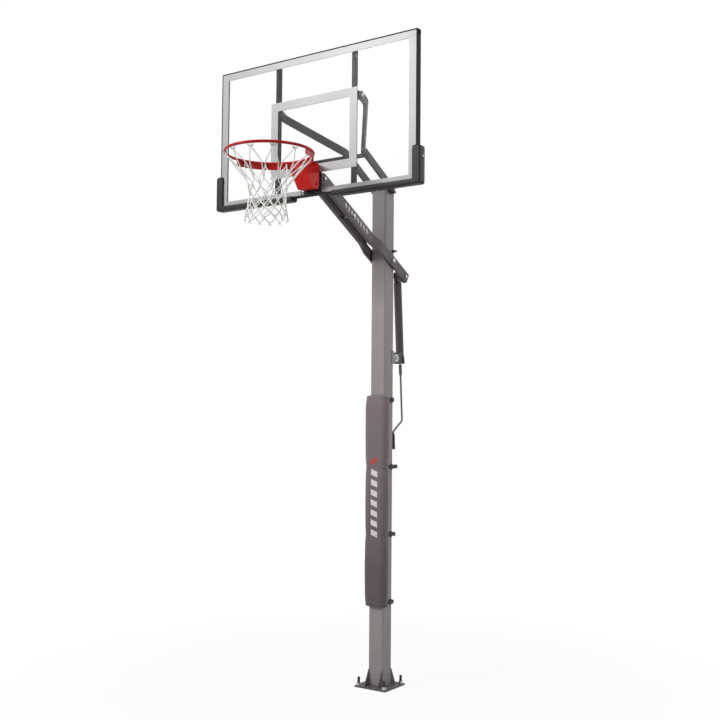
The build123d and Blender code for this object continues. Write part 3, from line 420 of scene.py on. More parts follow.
def powder_coat(name, colour, roughness=0.42, sheen=0.3, marks_and_painted_shade=None):
    """Satin powder coat: fine orange peel, soft cloudiness, faint dust, darker towards the ground."""
    f = Finish(name)
    at, x, y, z = f.place()
    cloud = f.noise(at, 7.0, 4.0, 0.6)
    peel_height = f.noise(at, 1300.0, 2.0)
    speck = f.noise(at, 420.0, 1.0).smooth(0.62, 0.72)
    dust = f.noise(at, 26.0, 5.0, 0.65).smooth(0.45, 0.8) * 0.07
    base = f.mix(cloud, tint(colour, 0.86), tint(colour, 1.14))
    base = f.mix(speck * 0.25, base, tint(colour, 1.6))
    base = f.mix(dust, base, (0.34, 0.32, 0.3))
    ground = (1 - z.smooth(0.0, 0.9)) * (0.1 + cloud * 0.2)
    base = f.mix(ground, base, tint(colour, 0.55))
    # Extra marks: printed bars on the lower arms, and a painted shadow on the pole's top.
    if marks_and_painted_shade:
        base = marks_and_painted_shade(f, base, x, y, z)
    rough = cloud * 0.12 + (roughness - 0.06) + dust * 0.5
    return f.close({
        "Base Color": base,
        "Roughness": rough,
        "Normal": f.bump(peel_height + cloud * 0.4, 0.00035, 0.5),
        "Specular IOR Level": sheen,
    })


def gloss_paint(name, colour):
    """Thick gloss paint on the rim, with a little orange peel and rubbed, duller patches."""
    f = Finish(name)
    at = f.place()[0]
    cloud = f.noise(at, 14.0, 4.0, 0.6)
    rub = f.noise(at, 55.0, 6.0, 0.7).smooth(0.6, 0.75)
    chip = f.noise(at, 210.0, 2.0, 0.8).smooth(0.745, 0.76)
    base = f.mix(cloud, tint(colour, 0.82), tint(colour, 1.12))
    base = f.mix(rub * 0.25, base, tint(colour, 0.55))
    base = f.mix(chip * 0.7, base, (0.12, 0.09, 0.08))
    return f.close({
        "Base Color": base,
        "Roughness": rub * 0.22 + cloud * 0.08 + 0.24,
        "Normal": f.bump(f.noise(at, 520.0, 2.0) - chip * 0.6, 0.0004, 0.35),
        "Specular IOR Level": 0.14,
        "Coat Weight": 0.04,
        "Coat Roughness": 0.15,
    })


def zinc(name, colour=(0.5, 0.5, 0.51), pitch=None):
    """Zinc-plated steel: faint spangle, grey bloom, and thread turns where a pitch is given."""
    f = Finish(name)
    at, _, _, z = f.place()
    cell = f.node("ShaderNodeTexVoronoi", inputs={"Vector": at, "Scale": 190.0}, output="Color")
    cell = Signal(f, f.node("ShaderNodeSeparateColor", inputs={0: cell}, output=None).outputs[0])
    bloom = f.noise(at, 60.0, 5.0, 0.7).smooth(0.4, 0.8)
    base = f.mix(cell * 0.35 + bloom * 0.4, tint(colour, 0.82), tint(colour, 1.12))
    height = f.noise(at, 800.0, 2.0) * 0.3
    if pitch:
        height = height + z.wave(pitch)
        # Painted shade: the thread's grooves are drawn darker.
        base = f.mix(z.wave(pitch), tint(colour, 0.45), base)
    return f.close({
        "Base Color": base,
        "Metallic": 0.92 - bloom * 0.25,
        "Roughness": bloom * 0.22 + cell * 0.08 + 0.3,
        "Normal": f.bump(height, 0.0006 if pitch else 0.0002, 0.6),
    })


def black_oxide(name, colour=(0.02, 0.019, 0.019), pitch=None):
    """Blackened steel: dark, part metallic, worn brighter in patches, threaded where a pitch is given."""
    f = Finish(name)
    at, _, _, z = f.place()
    worn = f.noise(at, 120.0, 5.0, 0.7).smooth(0.55, 0.8)
    height = f.noise(at, 900.0, 2.0) * 0.3
    base = f.mix(worn * 0.5, colour, (0.13, 0.125, 0.12))
    if pitch:
        height = height + z.wave(pitch)
        # Painted shade: the thread's grooves are drawn darker.
        base = f.mix(z.wave(pitch), tint(colour, 0.4), base)
    return f.close({
        "Base Color": base,
        "Metallic": worn * 0.4 + 0.3,
        "Roughness": 0.48 - worn * 0.12,
        "Normal": f.bump(height, 0.0006 if pitch else 0.0002, 0.5),
    })


def moulded(name, colour, grain=420.0, depth=0.0004, roughness=0.55):
    """Moulded plastic or rubber with a pebbled grain and scuffs."""
    f = Finish(name)
    at = f.place()[0]
    inputs = {"Vector": at, "Scale": grain}
    pebble = f.node("ShaderNodeTexVoronoi", {"feature": "SMOOTH_F1"}, inputs, "Distance")
    scuff = f.noise(at, 34.0, 6.0, 0.7).smooth(0.55, 0.75)
    cloud = f.noise(at, 9.0, 3.0)
    base = f.mix(cloud, tint(colour, 0.8), tint(colour, 1.25))
    base = f.mix(scuff * 0.22, base, tint(colour, 3.0))
    return f.close({
        "Base Color": base,
        "Roughness": scuff * 0.14 + cloud * 0.06 + roughness - 0.05,
        "Normal": f.bump(pebble, depth, 0.55),
        "Specular IOR Level": 0.2,
    })


def printed_glass(name):
    """Clear glass with a white border and target printed on it; the ink stops round the rim's plate."""
    ink = tuple(colours().print_white)
    f = Finish(name)
    at, x, _, z = f.place()
    wide = GLASS_HIGH[0]
    side = abs(x)
    border = (side > wide - 45 * MM).either(z > GLASS_HIGH[2] - 38 * MM)
    foot = (z < GLASS_LOW[2] + 27 * MM).both(side > 77 * MM)
    target_low, target_high, band = RING_HIGH[2] - 41 * MM, RING_HIGH[2] + 406 * MM, 50 * MM
    outer = (side < 305 * MM).both(z > target_low).both(z < target_high)
    inner = (side < 305 * MM - band).both(z > target_low + band).both(z < target_high - band)
    mask = border.either(foot).either(outer.both(1 - inner))
    smear = f.noise(at, 5.0, 6.0, 0.65).smooth(0.45, 0.8)
    bevel, tall = 0.6 * MM, (GLASS_HIGH[2] - GLASS_LOW[2]) / 2
    edge = (side > wide - bevel).either(abs(z - float(GLASS_MIDDLE[2])) > tall - bevel)
    base = f.mix(mask, (0.86, 0.95, 0.92), ink)
    base = f.mix(edge, base, (0.25, 0.5, 0.42))
    alpha = mask.either(edge) * 0.93 + smear * 0.012 + 0.025
    f.material.surface_render_method = "BLENDED"
    return f.close({
        "Base Color": base,
        "Alpha": alpha.both(1.0),
        "Roughness": mask * 0.32 + smear * 0.05 + 0.03,
        "IOR": 1.5,
    })


def braided(name, colour, turn=0.009):
    """Braided cord: two sets of strands that wind opposite ways round the cord."""
    f = Finish(name)
    at = f.place()[0]
    along, around = f.uv()
    left = (along / turn + around * 2).repeat(1.0)
    right = (along / turn - around * 2).repeat(1.0)
    plait = (abs(left - 0.5)).either(abs(right - 0.5))
    fuzz = f.noise(at, 900.0, 3.0, 0.7)
    grime = f.noise(at, 16.0, 4.0, 0.6)
    # Painted shade: the strands are drawn a little lighter where the plait's relief rises.
    base = f.mix(plait * 1.4, tint(colour, 0.9), tint(colour, 1.05))
    base = f.mix(grime.smooth(0.5, 0.9) * 0.3, base, tint(colour, 0.82))
    return f.close({
        "Base Color": base,
        "Roughness": fuzz * 0.15 + 0.72,
        "Normal": f.bump(plait + fuzz * 0.25, 0.0009, 0.7),
    })


def webbing(name, colour):
    """Woven strap: small ribs along and across it, with dust in patches."""
    f = Finish(name)
    at = f.place()[0]
    along, around = f.uv()
    rib = along.wave(0.0021) * (around * 34).wave(1.0)
    # Painted shade: the weave is drawn lighter on its ribs and darker between them.
    base = f.mix(rib, tint(colour, 0.55), tint(colour, 1.5))
    base = f.mix(f.noise(at, 60.0, 4.0).smooth(0.5, 0.8) * 0.3, base, tint(colour, 2.4))
    return f.close({
        "Base Color": base,
        "Roughness": rib * 0.1 + 0.68,
        "Normal": f.bump(rib, 0.0006, 0.6),
    })


def coated_fabric(name, colour):
    """Coated fabric of the pole pad: fine weave, sewn hems near both ends, scuffs, and plain slanted
    bars down the middle of its front, with painted shade towards the bottom and along two creases."""
    f = Finish(name)
    at, x, y, z = f.place()
    low, high = float(PAD_LOW[2]), float(PAD_HIGH[2])
    weave = (x + y).wave(0.0016) * z.wave(0.0016)
    cloud = f.noise(at, 5.0, 4.0, 0.6)
    crease = f.noise(at, 22.0, 6.0, 0.72)
    scuff = crease.smooth(0.56, 0.7)
    hem = (abs(z - (low + 0.03)) < 0.0012).either(abs(z - (high - 0.03)) < 0.0012)
    stitch = hem * (x.repeat(0.006) > 0.35).either(y.repeat(0.006) > 0.35)
    front = y < float(PAD_LOW[1]) + 0.03
    climb = z + x * 0.35 - 0.9105
    bars = front.both(abs(x - 0.002) < 0.023).both(climb > 0.0).both(climb < 0.42)
    bars = bars.both(climb.repeat(0.0607) < 0.56)
    flash = front.both(abs(x + 0.002 - (z - 1.365) * 0.5) < 0.02).both(abs(z - 1.365 - x * 0.25) < 0.016)
    sag = abs(x) * 0.12 + y * 0.1
    # Painted shade: thin dark lines along two creases at strap height, on the pad's right part.
    shaded_crease_lines = (abs(z - 1.322 + sag) < 0.0013).either(abs(z - 0.911 + sag) < 0.0013) * (x > 0.004)
    base = f.mix(cloud, tint(colour, 0.88), tint(colour, 1.14))
    # Painted shade: the fabric is drawn darker towards the pad's bottom, where less light reaches.
    painted_falloff_shade = (1 - z.smooth(0.45, 1.6)) * (0.5 + cloud * 0.4)
    base = f.mix(painted_falloff_shade, base, tint(colour, 0.2))
    base = f.mix(scuff * 0.12, base, tint(colour, 1.7))
    base = f.mix(bars * 0.92, base, (0.78, 0.76, 0.76))
    base = f.mix(flash * 0.95, base, (0.5, 0.03, 0.03))
    base = f.mix(stitch * 0.5, base, tint(colour, 1.8))
    base = f.mix(shaded_crease_lines * 0.75, base, tint(colour, 0.15))
    height = weave * 0.35 + crease * 1.6 - hem * 1.4 - shaded_crease_lines * 1.5
    return f.close({
        "Base Color": base,
        "Roughness": cloud * 0.1 + scuff * 0.06 + 0.48,
        "Normal": f.bump(height, 0.0011, 0.7),
        "Sheen Weight": 0.15,
        "Sheen Roughness": 0.5,
    })


def weld_metal(name, colour):
    """Painted weld bead: the coat follows the ripples, with painted shade drawn between them."""
    f = Finish(name)
    at = f.place()[0]
    along, _ = f.uv()
    ripple = along.wave(0.0034)
    # Painted shade: the bead is drawn darker between its ripples.
    base = f.mix(ripple, tint(colour, 0.6), tint(colour, 1.2))
    return f.close({
        "Base Color": base,
        "Roughness": 0.55 - ripple * 0.15,
        "Normal": f.bump(ripple + f.noise(at, 500.0, 3.0) * 0.4, 0.0009, 0.8),
    })


def paint(piece, material):
    """Gives a piece one material."""
    piece.data.materials.clear()
    piece.data.materials.append(material)


def settle(piece, body, slot, *nodes):
    """Hangs a finished piece on its body and hides the nodes it stands for."""
    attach(piece, body)
    if nodes:
        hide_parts(*nodes)
    return piece


# ---------------------------------------------------------------- operators
class HOOP_OT_net(bpy.types.Operator):
    """Knots the net: each loop runs up one slant, over its hook and down the other slant"""

    bl_idname = "hoop.net"
    bl_label = "Net"

    def execute(self, context):
        size = sizes()
        rng = np.random.default_rng(11)
        loops, cord = size.loops, size.cord_diameter / 2
        ring = (RING_HIGH[0] - RING_LOW[0]) / 2 - 8 * MM
        drop = HOOK_LOW[2] - NET_LOW[2]
        depth = np.array([0.0, 0.375, 0.495, 0.605, 0.705, 0.795, 0.875, 0.945])
        waist = np.array([0.955, 0.5, 0.44, 0.417, 0.42, 0.44, 0.465, 0.485]) * ring
        rows = len(depth)
        half = np.pi / loops
        turn = np.arange(2 * loops) * half
        stray = rng.normal(0, 1, (3, rows, 2 * loops))
        stray[:, 0] = 0
        level = HOOK_LOW[2] - depth[:, None] * drop + stray[0] * size.knot_shift * 0.9
        radius = waist[:, None] + stray[1] * size.knot_shift * 0.6
        angle = turn[None, :] + np.radians(15) + stray[2] * size.knot_shift * 0.8 / waist[:, None]
        lean = depth[:, None] ** 2 * np.array([-0.012, -0.006])[:, None, None]
        knots = np.stack([
            radius * np.cos(angle) + lean[0],
            RING_MIDDLE[1] + radius * np.sin(angle) + lean[1],
            level,
        ], -1)
        shape = Shape()
        k = np.arange(1, rows)
        grip = 5 * MM / ring
        for loop in range(loops):
            down = knots[k, (2 * loop + k) % (2 * loops)]
            up = knots[k, (2 * loop - k) % (2 * loops)]
            at = np.radians(15) + 2 * loop * half
            arch = 0.74 * half
            hang = np.array([-arch, -grip, -0.6 * grip, 0.6 * grip, grip, arch]) + at
            reach = waist[0] + np.array([-0.235 * ring, 0, 2 * MM, 2 * MM, 0, -0.235 * ring])
            lift = HOOK_LOW[2] + np.array([-0.19 * drop, -5 * MM, 7 * MM, 7 * MM, -5 * MM, -0.19 * drop])
            over = np.stack([reach * np.cos(hang), RING_MIDDLE[1] + reach * np.sin(hang), lift], -1)
            tails = []
            for end, way in ((up[-1], -1), (down[-1], 1)):
                out = unit(np.array([end[0], end[1] - RING_MIDDLE[1], 0.0]))
                across = np.array([-out[1], out[0], 0.0]) * way
                fall = rng.uniform(8, 15) * MM
                tails.append(np.stack([
                    end + across * 4 * MM + [0, 0, -0.5 * fall],
                    end + across * rng.uniform(3, 9) * MM + out * rng.uniform(0, 5) * MM + [0, 0, -fall],
                ]))
            line = np.concatenate([tails[0][::-1], up[::-1], over, down, tails[1]])
            line = flowing(line, 7)
            centre = np.stack([0 * line[:, 0], RING_MIDDLE[1] + 0 * line[:, 0], line[:, 2]], -1)
            outward = unit(line - centre)
            weave = np.where(np.arange(len(line)) < len(line) / 2, -0.55, 0.55) * cord
            shape.tube(line + outward * weave[:, None], cord, outward, 8)
        odd = np.arange(1, rows)
        crossings = np.concatenate([knots[row, row % 2 :: 2] for row in odd])
        shape.beads(crossings, np.array([1.55, 1.55, 1.9]) * cord, 8, 5)
        net = shape.build("net_cords")
        paint(net, braided("braided cord", tuple(colours().cord)))
        settle(net, "rim", "net_cord", "net")
        return {"FINISHED"}


def rounded_u(half, front, rear, corner, tip):
    """Open line round the front of the pole, from the right rear to the left rear: straight sides,
    quarter circles of radius corner at the front, and quarter circles of radius tip at the rear."""
    turn = np.linspace(0, np.pi / 2, 10)
    hook = np.array([[half, rear]])
    if tip:
        hook = np.stack([half - tip + tip * np.sin(turn), rear - tip + tip * np.cos(turn)], -1)
    arc = corner * np.stack([np.cos(turn) - 1, 1 - np.sin(turn)], -1)
    bend = arc + [half, front]
    right = np.concatenate([hook, bend])
    return np.concatenate([right, right[::-1] * [-1, 1]])


class HOOP_OT_pole_pad(bpy.types.Operator):
    """Wraps the foam pad round the pole's front and sides"""

    bl_idname = "hoop.pole_pad"
    bl_label = "Pole pad"

    def execute(self, context):
        """Point = inner line + (outer line - inner line) * f, where f rises as a quarter ellipse at
        either end, follows the stuffing along the height and dips where a strap pulls."""
        size = sizes()
        low, high = PAD_LOW[2], PAD_HIGH[2]
        half, front, rear = PAD_HIGH[0], PAD_LOW[1], PAD_HIGH[1]
        across, rows = 90, 240
        outer = even(rounded_u(half, front, rear, 36 * MM, 15 * MM), across)
        gap = POLE_HALF + 0.6 * MM
        inner = even(rounded_u(gap, -gap, rear, 8 * MM, 0), across)
        v = (1 - np.cos(np.linspace(0, np.pi, rows))) / 2
        v = 0.35 * v + 0.65 * np.linspace(0, 1, rows)
        z = low + (high - low) * v
        end = np.minimum(z - low, high - z)[:, None]
        r = size.pad_edge
        f = np.sqrt(np.clip(1 - (1 - np.minimum(end / r, 1)) ** 2, 0.16, 1))
        u = np.linspace(-1, 1, across)[None, :]
        fullness = np.array([
            (0.0, 0.8), (0.02, 0.9), (0.08, 0.97), (0.2, 1.03), (0.29, 0.97),
            (0.34, 0.87), (0.4, 0.96), (0.5, 1.0), (0.62, 0.95), (0.66, 0.9),
            (0.71, 0.99), (0.79, 1.06), (0.93, 1.06), (0.975, 1.0), (1.0, 0.86),
        ])
        swell = (np.interp(v, *fullness.T) - 1)[:, None]
        kernel = np.hanning(15) / np.hanning(15).sum()
        swell[:, 0] = np.convolve(np.pad(swell[:, 0], 7, mode="edge"), kernel, mode="valid")
        ties = strap_levels(size.strap_width)
        pull = np.exp(-(((z[:, None] - ties[None, :]) / 0.024) ** 2)).sum(1)[:, None]
        pinch = -0.14 * pull * (0.25 + np.abs(u) ** 4)
        rng = np.random.default_rng(5)
        ripple = np.zeros((rows, across))
        waves = zip(rng.uniform(4, 20, 14), rng.uniform(1, 6, 14), rng.uniform(0, 6.28, 14))
        for many, tilt, phase in waves:
            ripple += np.sin(many * z[:, None] * 2.2 + tilt * u * 2 + phase) / 14
        pucker = np.sin(z[:, None] * 210 + 3 * np.sin(u * 5)) * np.exp(-end / 0.03) * 0.012
        f = f * (1 + swell + pinch + 0.035 * ripple + pucker)
        wall = inner[None] + (outer - inner)[None] * f[..., None]
        back = np.broadcast_to(inner[None, ::-1], wall.shape)
        ring = np.concatenate([wall, back], 1)
        ring = np.concatenate([ring, np.broadcast_to(z[:, None, None], (*ring.shape[:2], 1))], -1)
        shape = Shape()
        shape.add(ring.reshape(-1, 3), lattice(rows, 2 * across), lattice_uv(z, 2 * across))
        pad = shape.build("pole_pad_foam", merge=0.02 * MM)
        paint(pad, coated_fabric("coated fabric", tuple(colours().pad)))
        settle(pad, "pole", "pad_vinyl", "pole_pad")
        return {"FINISHED"}


def strap_levels(width):
    """Heights of the four straps' middles, evenly spaced from the lowest to the highest."""
    return TIE_LOW[2] + width / 2 + np.arange(4) / 3 * (TIE_HIGH[2] - TIE_LOW[2] - width)


class HOOP_OT_pad_straps(bpy.types.Operator):
    """Ties the pole pad on with four webbing straps, each with a buckle and a loose tail"""

    bl_idname = "hoop.pad_straps"
    bl_label = "Pad straps"

    def execute(self, context):
        size = sizes()
        half, thick = size.strap_width / 2, 1.1 * MM
        reach = POLE_HALF + 0.35 * MM + thick
        corner = 9 * MM + thick
        turn = np.linspace(0, np.pi / 2, 9)
        bend = reach - corner + corner * np.stack([np.cos(turn), np.sin(turn)], -1)
        start = np.array([[reach, PAD_HIGH[1] + 0.6 * MM], [reach, 0.0]])
        right = np.concatenate([start, bend])
        line = even(np.concatenate([right, right[::-1] * [-1, 1]]), 80)
        webs, buckles = Shape(), Shape()
        lower = np.array([[-1, -1], [-0.8, -1.25], [0.8, -1.25], [1, -1]])
        section = np.concatenate([lower, -lower])
        square = np.array([[0, -1, -1], [0, 1, -1], [0, 1, 1], [0, -1, 1], [0, -1, -1]], float)
        levels = strap_levels(size.strap_width)
        rng = np.random.default_rng(3)
        for level, free in zip(levels, (0.5, 0.85, 1.25, 0.3)):
            path = np.stack([line[:, 0], line[:, 1], np.full(len(line), level)], -1)
            self.band(webs, path, section, half, thick)
            y = 30 * MM
            loop = square * [1, 9 * MM, half + 3 * MM]
            middle = np.array([reach + thick + 3 * MM, y, level])
            buckles.tube(even(loop, 41) + middle, 2.0 * MM, (1, 0, 0), 8)
            bar = np.array([[0, 0, -1], [0, 0, 0], [0, 0, 1]], float) * [1, 1, half + 3 * MM]
            buckles.tube(bar + middle, 1.8 * MM, (1, 0, 0), 8)
            tip = rng.uniform(-3, 2)
            tail = MM * np.array([
                [0, -9, 0], [3.5, 0, 0], [2.5, 9, 0], [4, 17, 0.5], [9, 26, tip], [15, 33, 1.4 * tip]
            ])
            tail[3:] = tail[2] + (tail[3:] - tail[2]) * free
            tail = flowing(tail + [reach + thick + 1.5 * MM, y, level], 6)
            self.band(webs, tail, section, half, thick)
        strap = webs.build("pad_webbing", sharp=50)
        paint(strap, webbing("strap webbing", (0.1, 0.093, 0.094)))
        settle(strap, "pole", "strap_webbing", "pad_ties")
        buckle = buckles.build("strap_buckles")
        paint(buckle, moulded("buckle plastic", (0.06, 0.057, 0.058)))
        settle(buckle, "pole", "black_plastic", "tie_knots")
        return {"FINISHED"}

    def band(self, shape, path, section, half, thick):
        """Flat strap: the section's first axis is up, square to the path, and its second is the
        strap's face."""
        tangent = unit(np.gradient(path, axis=0))
        face = unit(np.cross(tangent, [0.0, 0.0, 1.0]))
        rise = np.cross(face, tangent)
        across = section[None, :, :1] * half * rise[:, None]
        out = section[None, :, 1:] * thick * 0.8 * face[:, None]
        shape.profile(path, (path[:, None] + across + out)[:, ::-1])


class HOOP_OT_board_pads(bpy.types.Operator):
    """Fits the moulded foam pads to the board's lower corners"""

    bl_idname = "hoop.board_pads"
    bl_label = "Board pads"

    def execute(self, context):
        rubber = moulded("corner pad foam", tuple(colours().rubber), 260.0, 0.0006, 0.48)
        for side, name in ((-1, "board_pad_left"), (1, "board_pad_right")):
            path, rings = self.rings(side, *span(name)[:2], *span("frame_bottom")[:2])
            shape = Shape()
            shape.profile(path, rings, flat_ends=True)
            pad = shape.build(f"corner_pad_{'left' if side < 0 else 'right'}", sharp=48, merge=0.005 * MM)
            paint(pad, rubber)
            settle(pad, "backboard", "pad_rubber", name)
        screws = Shape()
        low, high, middle = span("board_pad_right")
        y, head, dome = middle[1] + 8 * MM, 5.5 * MM, 1.6 * MM
        side_screws = np.array([(s * high[0], y, 3.012) for s in (-1, 1)])
        foot_screws = np.array([(s * 0.43, y, low[2]) for s in (-1, 1)])
        screws.beads(side_screws, np.array([dome, head, head]))
        screws.beads(foot_screws, np.array([head, head, dome]))
        heads = screws.build("corner_pad_screws")
        paint(heads, zinc("screw zinc"))
        settle(heads, "backboard", "zinc_steel")
        return {"FINISHED"}

    def rings(self, side, low, high, frame_low, frame_high):
        """A C-shaped profile carried round the board's corner. Each ring lies between an inner point I
        and an outer point O of the pad's front view; a profile point sits at a distance from I, at a
        distance from O, or at the frame's edge between them, and at its own depth. Near both ends the
        skin draws in towards the frame."""
        outer_x, edge = max(abs(low[0]), abs(high[0])), frame_high[0]
        inner_x, start_x = outer_x - 50 * MM, min(abs(low[0]), abs(high[0]))
        bottom, ledge, top = low[2], frame_low[2] + 9 * MM, high[2]
        near, far = frame_low[1] - 0.6 * MM, frame_high[1] + 0.6 * MM
        corner = 13 * MM
        bend = np.linspace(0, np.pi / 2, 9)
        round_it = corner * np.stack([np.sin(bend) - 1, 1 - np.cos(bend)], -1) + [outer_x, bottom]
        turn = even(np.concatenate([[[inner_x, bottom]], round_it, [[outer_x, ledge]]]), 30)[1:-1]
        near_end = np.array([0, 0.5, 1.5, 3, 5, 8, 12]) * MM
        beyond = np.linspace(16 * MM, inner_x - start_x, 44)
        run = start_x + np.concatenate([near_end, beyond])
        rise = np.concatenate([np.linspace(ledge, top - 16 * MM, 20), top - near_end[::-1]])
        fixed = np.full((len(turn), 2), [inner_x, ledge])

        def front_view(z, middle, x):
            """Along the foot at height z, round the corner, then up the side at x."""
            foot, side_line = np.stack([run, 0 * run + z], -1), np.stack([0 * rise + x, rise], -1)
            return np.concatenate([foot, middle, side_line])

        inner, outer = front_view(ledge, fixed, inner_x), front_view(bottom, turn, outer_x)
        reach = np.linalg.norm(outer - inner, axis=1)
        foot_share = 9.5 * MM / (ledge - bottom)
        side_share = (edge + 0.5 * MM - inner_x) / (outer_x - inner_x)
        share = np.concatenate([
            np.full(len(run), foot_share),
            np.linspace(foot_share, side_share, len(turn)),
            np.full(len(rise), side_share),
        ])
        wall = share * reach
        ease = np.sqrt(1 - (1 - np.clip(np.minimum(run - start_x, 12 * MM) / (12 * MM), 0, 1)) ** 2)
        close = np.sqrt(1 - (1 - np.clip((top - rise) / (16 * MM), 0, 1)) ** 2)
        full = np.concatenate([ease, np.ones(len(turn)), close])
        r = 7 * MM
        sweep = np.linspace(0, np.pi / 2, 7)
        dip = r * (1 - np.sin(sweep))
        depth = r * (1 - np.cos(sweep))
        out_o = (1 - full)[:, None] * 0.5 * (reach - wall)[:, None]
        out_i = (1 - full)[:, None] * 0.4 * wall[:, None]
        skin = 0.4 + 0.6 * full[:, None]
        front = near - 0.5 * MM - (near - 0.5 * MM - low[1]) * skin
        back = far + 0.5 * MM + (high[1] - far - 0.5 * MM) * skin
        sag = np.minimum(r, 0.45 * wall)[:, None] / r
        o, y = [], []

        def put(offset, at):
            """Adds profile points at an offset from the inner point and a depth."""
            size = (len(reach), np.shape(at)[1])
            o.append(np.broadcast_to(offset, size))
            y.append(np.broadcast_to(at, size))

        one = np.ones((1, 1))
        put(out_i, near * one)
        put(out_i + (dip * sag)[:, ::-1], front + depth[None, ::-1] * 0.6)
        put(reach[:, None] - out_o - dip[None], front + depth[None])
        put(reach[:, None] - out_o - dip[None, ::-1], back - depth[None, ::-1])
        put(out_i + dip * sag, back - depth[None] * 0.6)
        put(out_i, far * one)
        put(wall[:, None], far * one)
        put(wall[:, None], near * one)
        o, y = np.concatenate(o, 1), np.concatenate(y, 1)
        spoke = (outer - inner) / reach[:, None]
        flat = inner[:, None] + spoke[:, None] * o[..., None]
        points = np.stack([side * flat[..., 0], y, flat[..., 1]], -1)
        middle = (inner + outer) / 2
        path = np.stack([side * middle[:, 0], 0 * middle[:, 0], middle[:, 1]], -1)
        return path, points if side > 0 else points[:, ::-1]


class HOOP_OT_welds(bpy.types.Operator):
    """Lays weld beads where the pole, base plate and gussets meet, and along the rim's joints"""

    bl_idname = "hoop.welds"
    bl_label = "Weld beads"

    def execute(self, context):
        """A bead is a tube whose radius ripples: r (1 + 0.1 sin (2 pi s / 3.4 mm))."""
        bead = sizes().bead
        shape = Shape()

        def lay(points, guide, radius=bead):
            points = np.asarray(points, float)
            count = max(8, int(lengths(points)[-1] / (1.2 * MM)))
            line = even(points, count)
            s = lengths(line)
            taper = np.clip(np.minimum(s, s[-1] - s) / (2 * radius), 0.25, 1) ** 0.5
            shape.tube(line, radius * taper * (1 + 0.1 * np.sin(2 * np.pi * s / (3.4 * MM))), guide, 7)

        plate_top = span("base_plate")[1][2]
        high = span("base_gussets")[1]
        h = POLE_HALF
        g = high[0] - 3 * MM
        for sx in (-1, 1):
            lay([(sx * h, -h + 6 * MM, plate_top), (sx * h, h - 6 * MM, plate_top)], (0, 0, 1))
            for sy in (-1, 1):
                lay([(sx * (g - 4 * MM), sy * h, plate_top), (-sx * 2 * MM, sy * h, plate_top)], (0, 0, 1))
                x, y = sx * (g + 3 * MM), sy * h
                lay([(x, sy * (h + 1 * MM), plate_top), (x, sy * high[1] * 0.97, plate_top)], (0, 0, 1))
                for x in (sx * (g - 3 * MM), sx * (g + 3 * MM)):
                    lay([(x, y, plate_top + 3 * MM), (x, y, high[2] - 2 * MM)], (1, 0, 0))
        welds = shape.build("base_welds")
        paint(welds, weld_metal("painted weld", tint(colours().pole, 0.45)))
        settle(welds, "pole", "pole_paint")

        shape = Shape()
        radius = (RING_HIGH[0] - RING_LOW[0]) / 2

        def round_ring(radius, first, last, count, level):
            """Arc about the ring's middle, between two angles in degrees."""
            a = np.radians(np.linspace(first, last, count))
            return np.stack([radius * np.cos(a), RING_MIDDLE[1] + radius * np.sin(a), 0 * a + level], -1)

        lay(round_ring(radius, 67, 113, 60, RING_HIGH[2] - 5 * MM), (0, 0, 1), 2.6 * MM)
        for offset in (2.6 * MM, -2.6 * MM):
            edge = radius - 8 * MM + offset
            lay(round_ring(edge, 5, 175, 200, RING_LOW[2] - 0.5 * MM), (0, 0, 1), 2.2 * MM)
        rim = shape.build("rim_welds")
        paint(rim, weld_metal("rim weld", tint(colours().rim, 0.6)))
        settle(rim, "rim", "rim_red")
        return {"FINISHED"}


class HOOP_OT_rim_springs(bpy.types.Operator):
    """Coils the two springs that hold the rim up"""

    bl_idname = "hoop.rim_springs"
    bl_label = "Rim springs"

    def execute(self, context):
        """Each spring is a tube round a helix: centre + r (cos a, sin a), rising evenly with a."""
        low, high, middle = span("rim_springs")
        wire, turns = 2 * MM, 5
        radius = (high[1] - low[1]) / 2 - wire
        angle = np.linspace(0, 2 * np.pi * turns, 24 * turns + 1)
        level = np.linspace(low[2] + wire, high[2] - wire, len(angle))
        shape = Shape()
        for side in (-1, 1):
            x = side * (high[0] - radius - wire) + radius * np.cos(angle)
            shape.tube(np.stack([x, middle[1] + radius * np.sin(angle), level], -1), wire, (0, 0, 1), 10)
        coils = shape.build("rim_spring_coils")
        paint(coils, zinc("spring zinc"))
        settle(coils, "backboard", "zinc_steel", "rim_springs")
        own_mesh(coils)
        return {"FINISHED"}


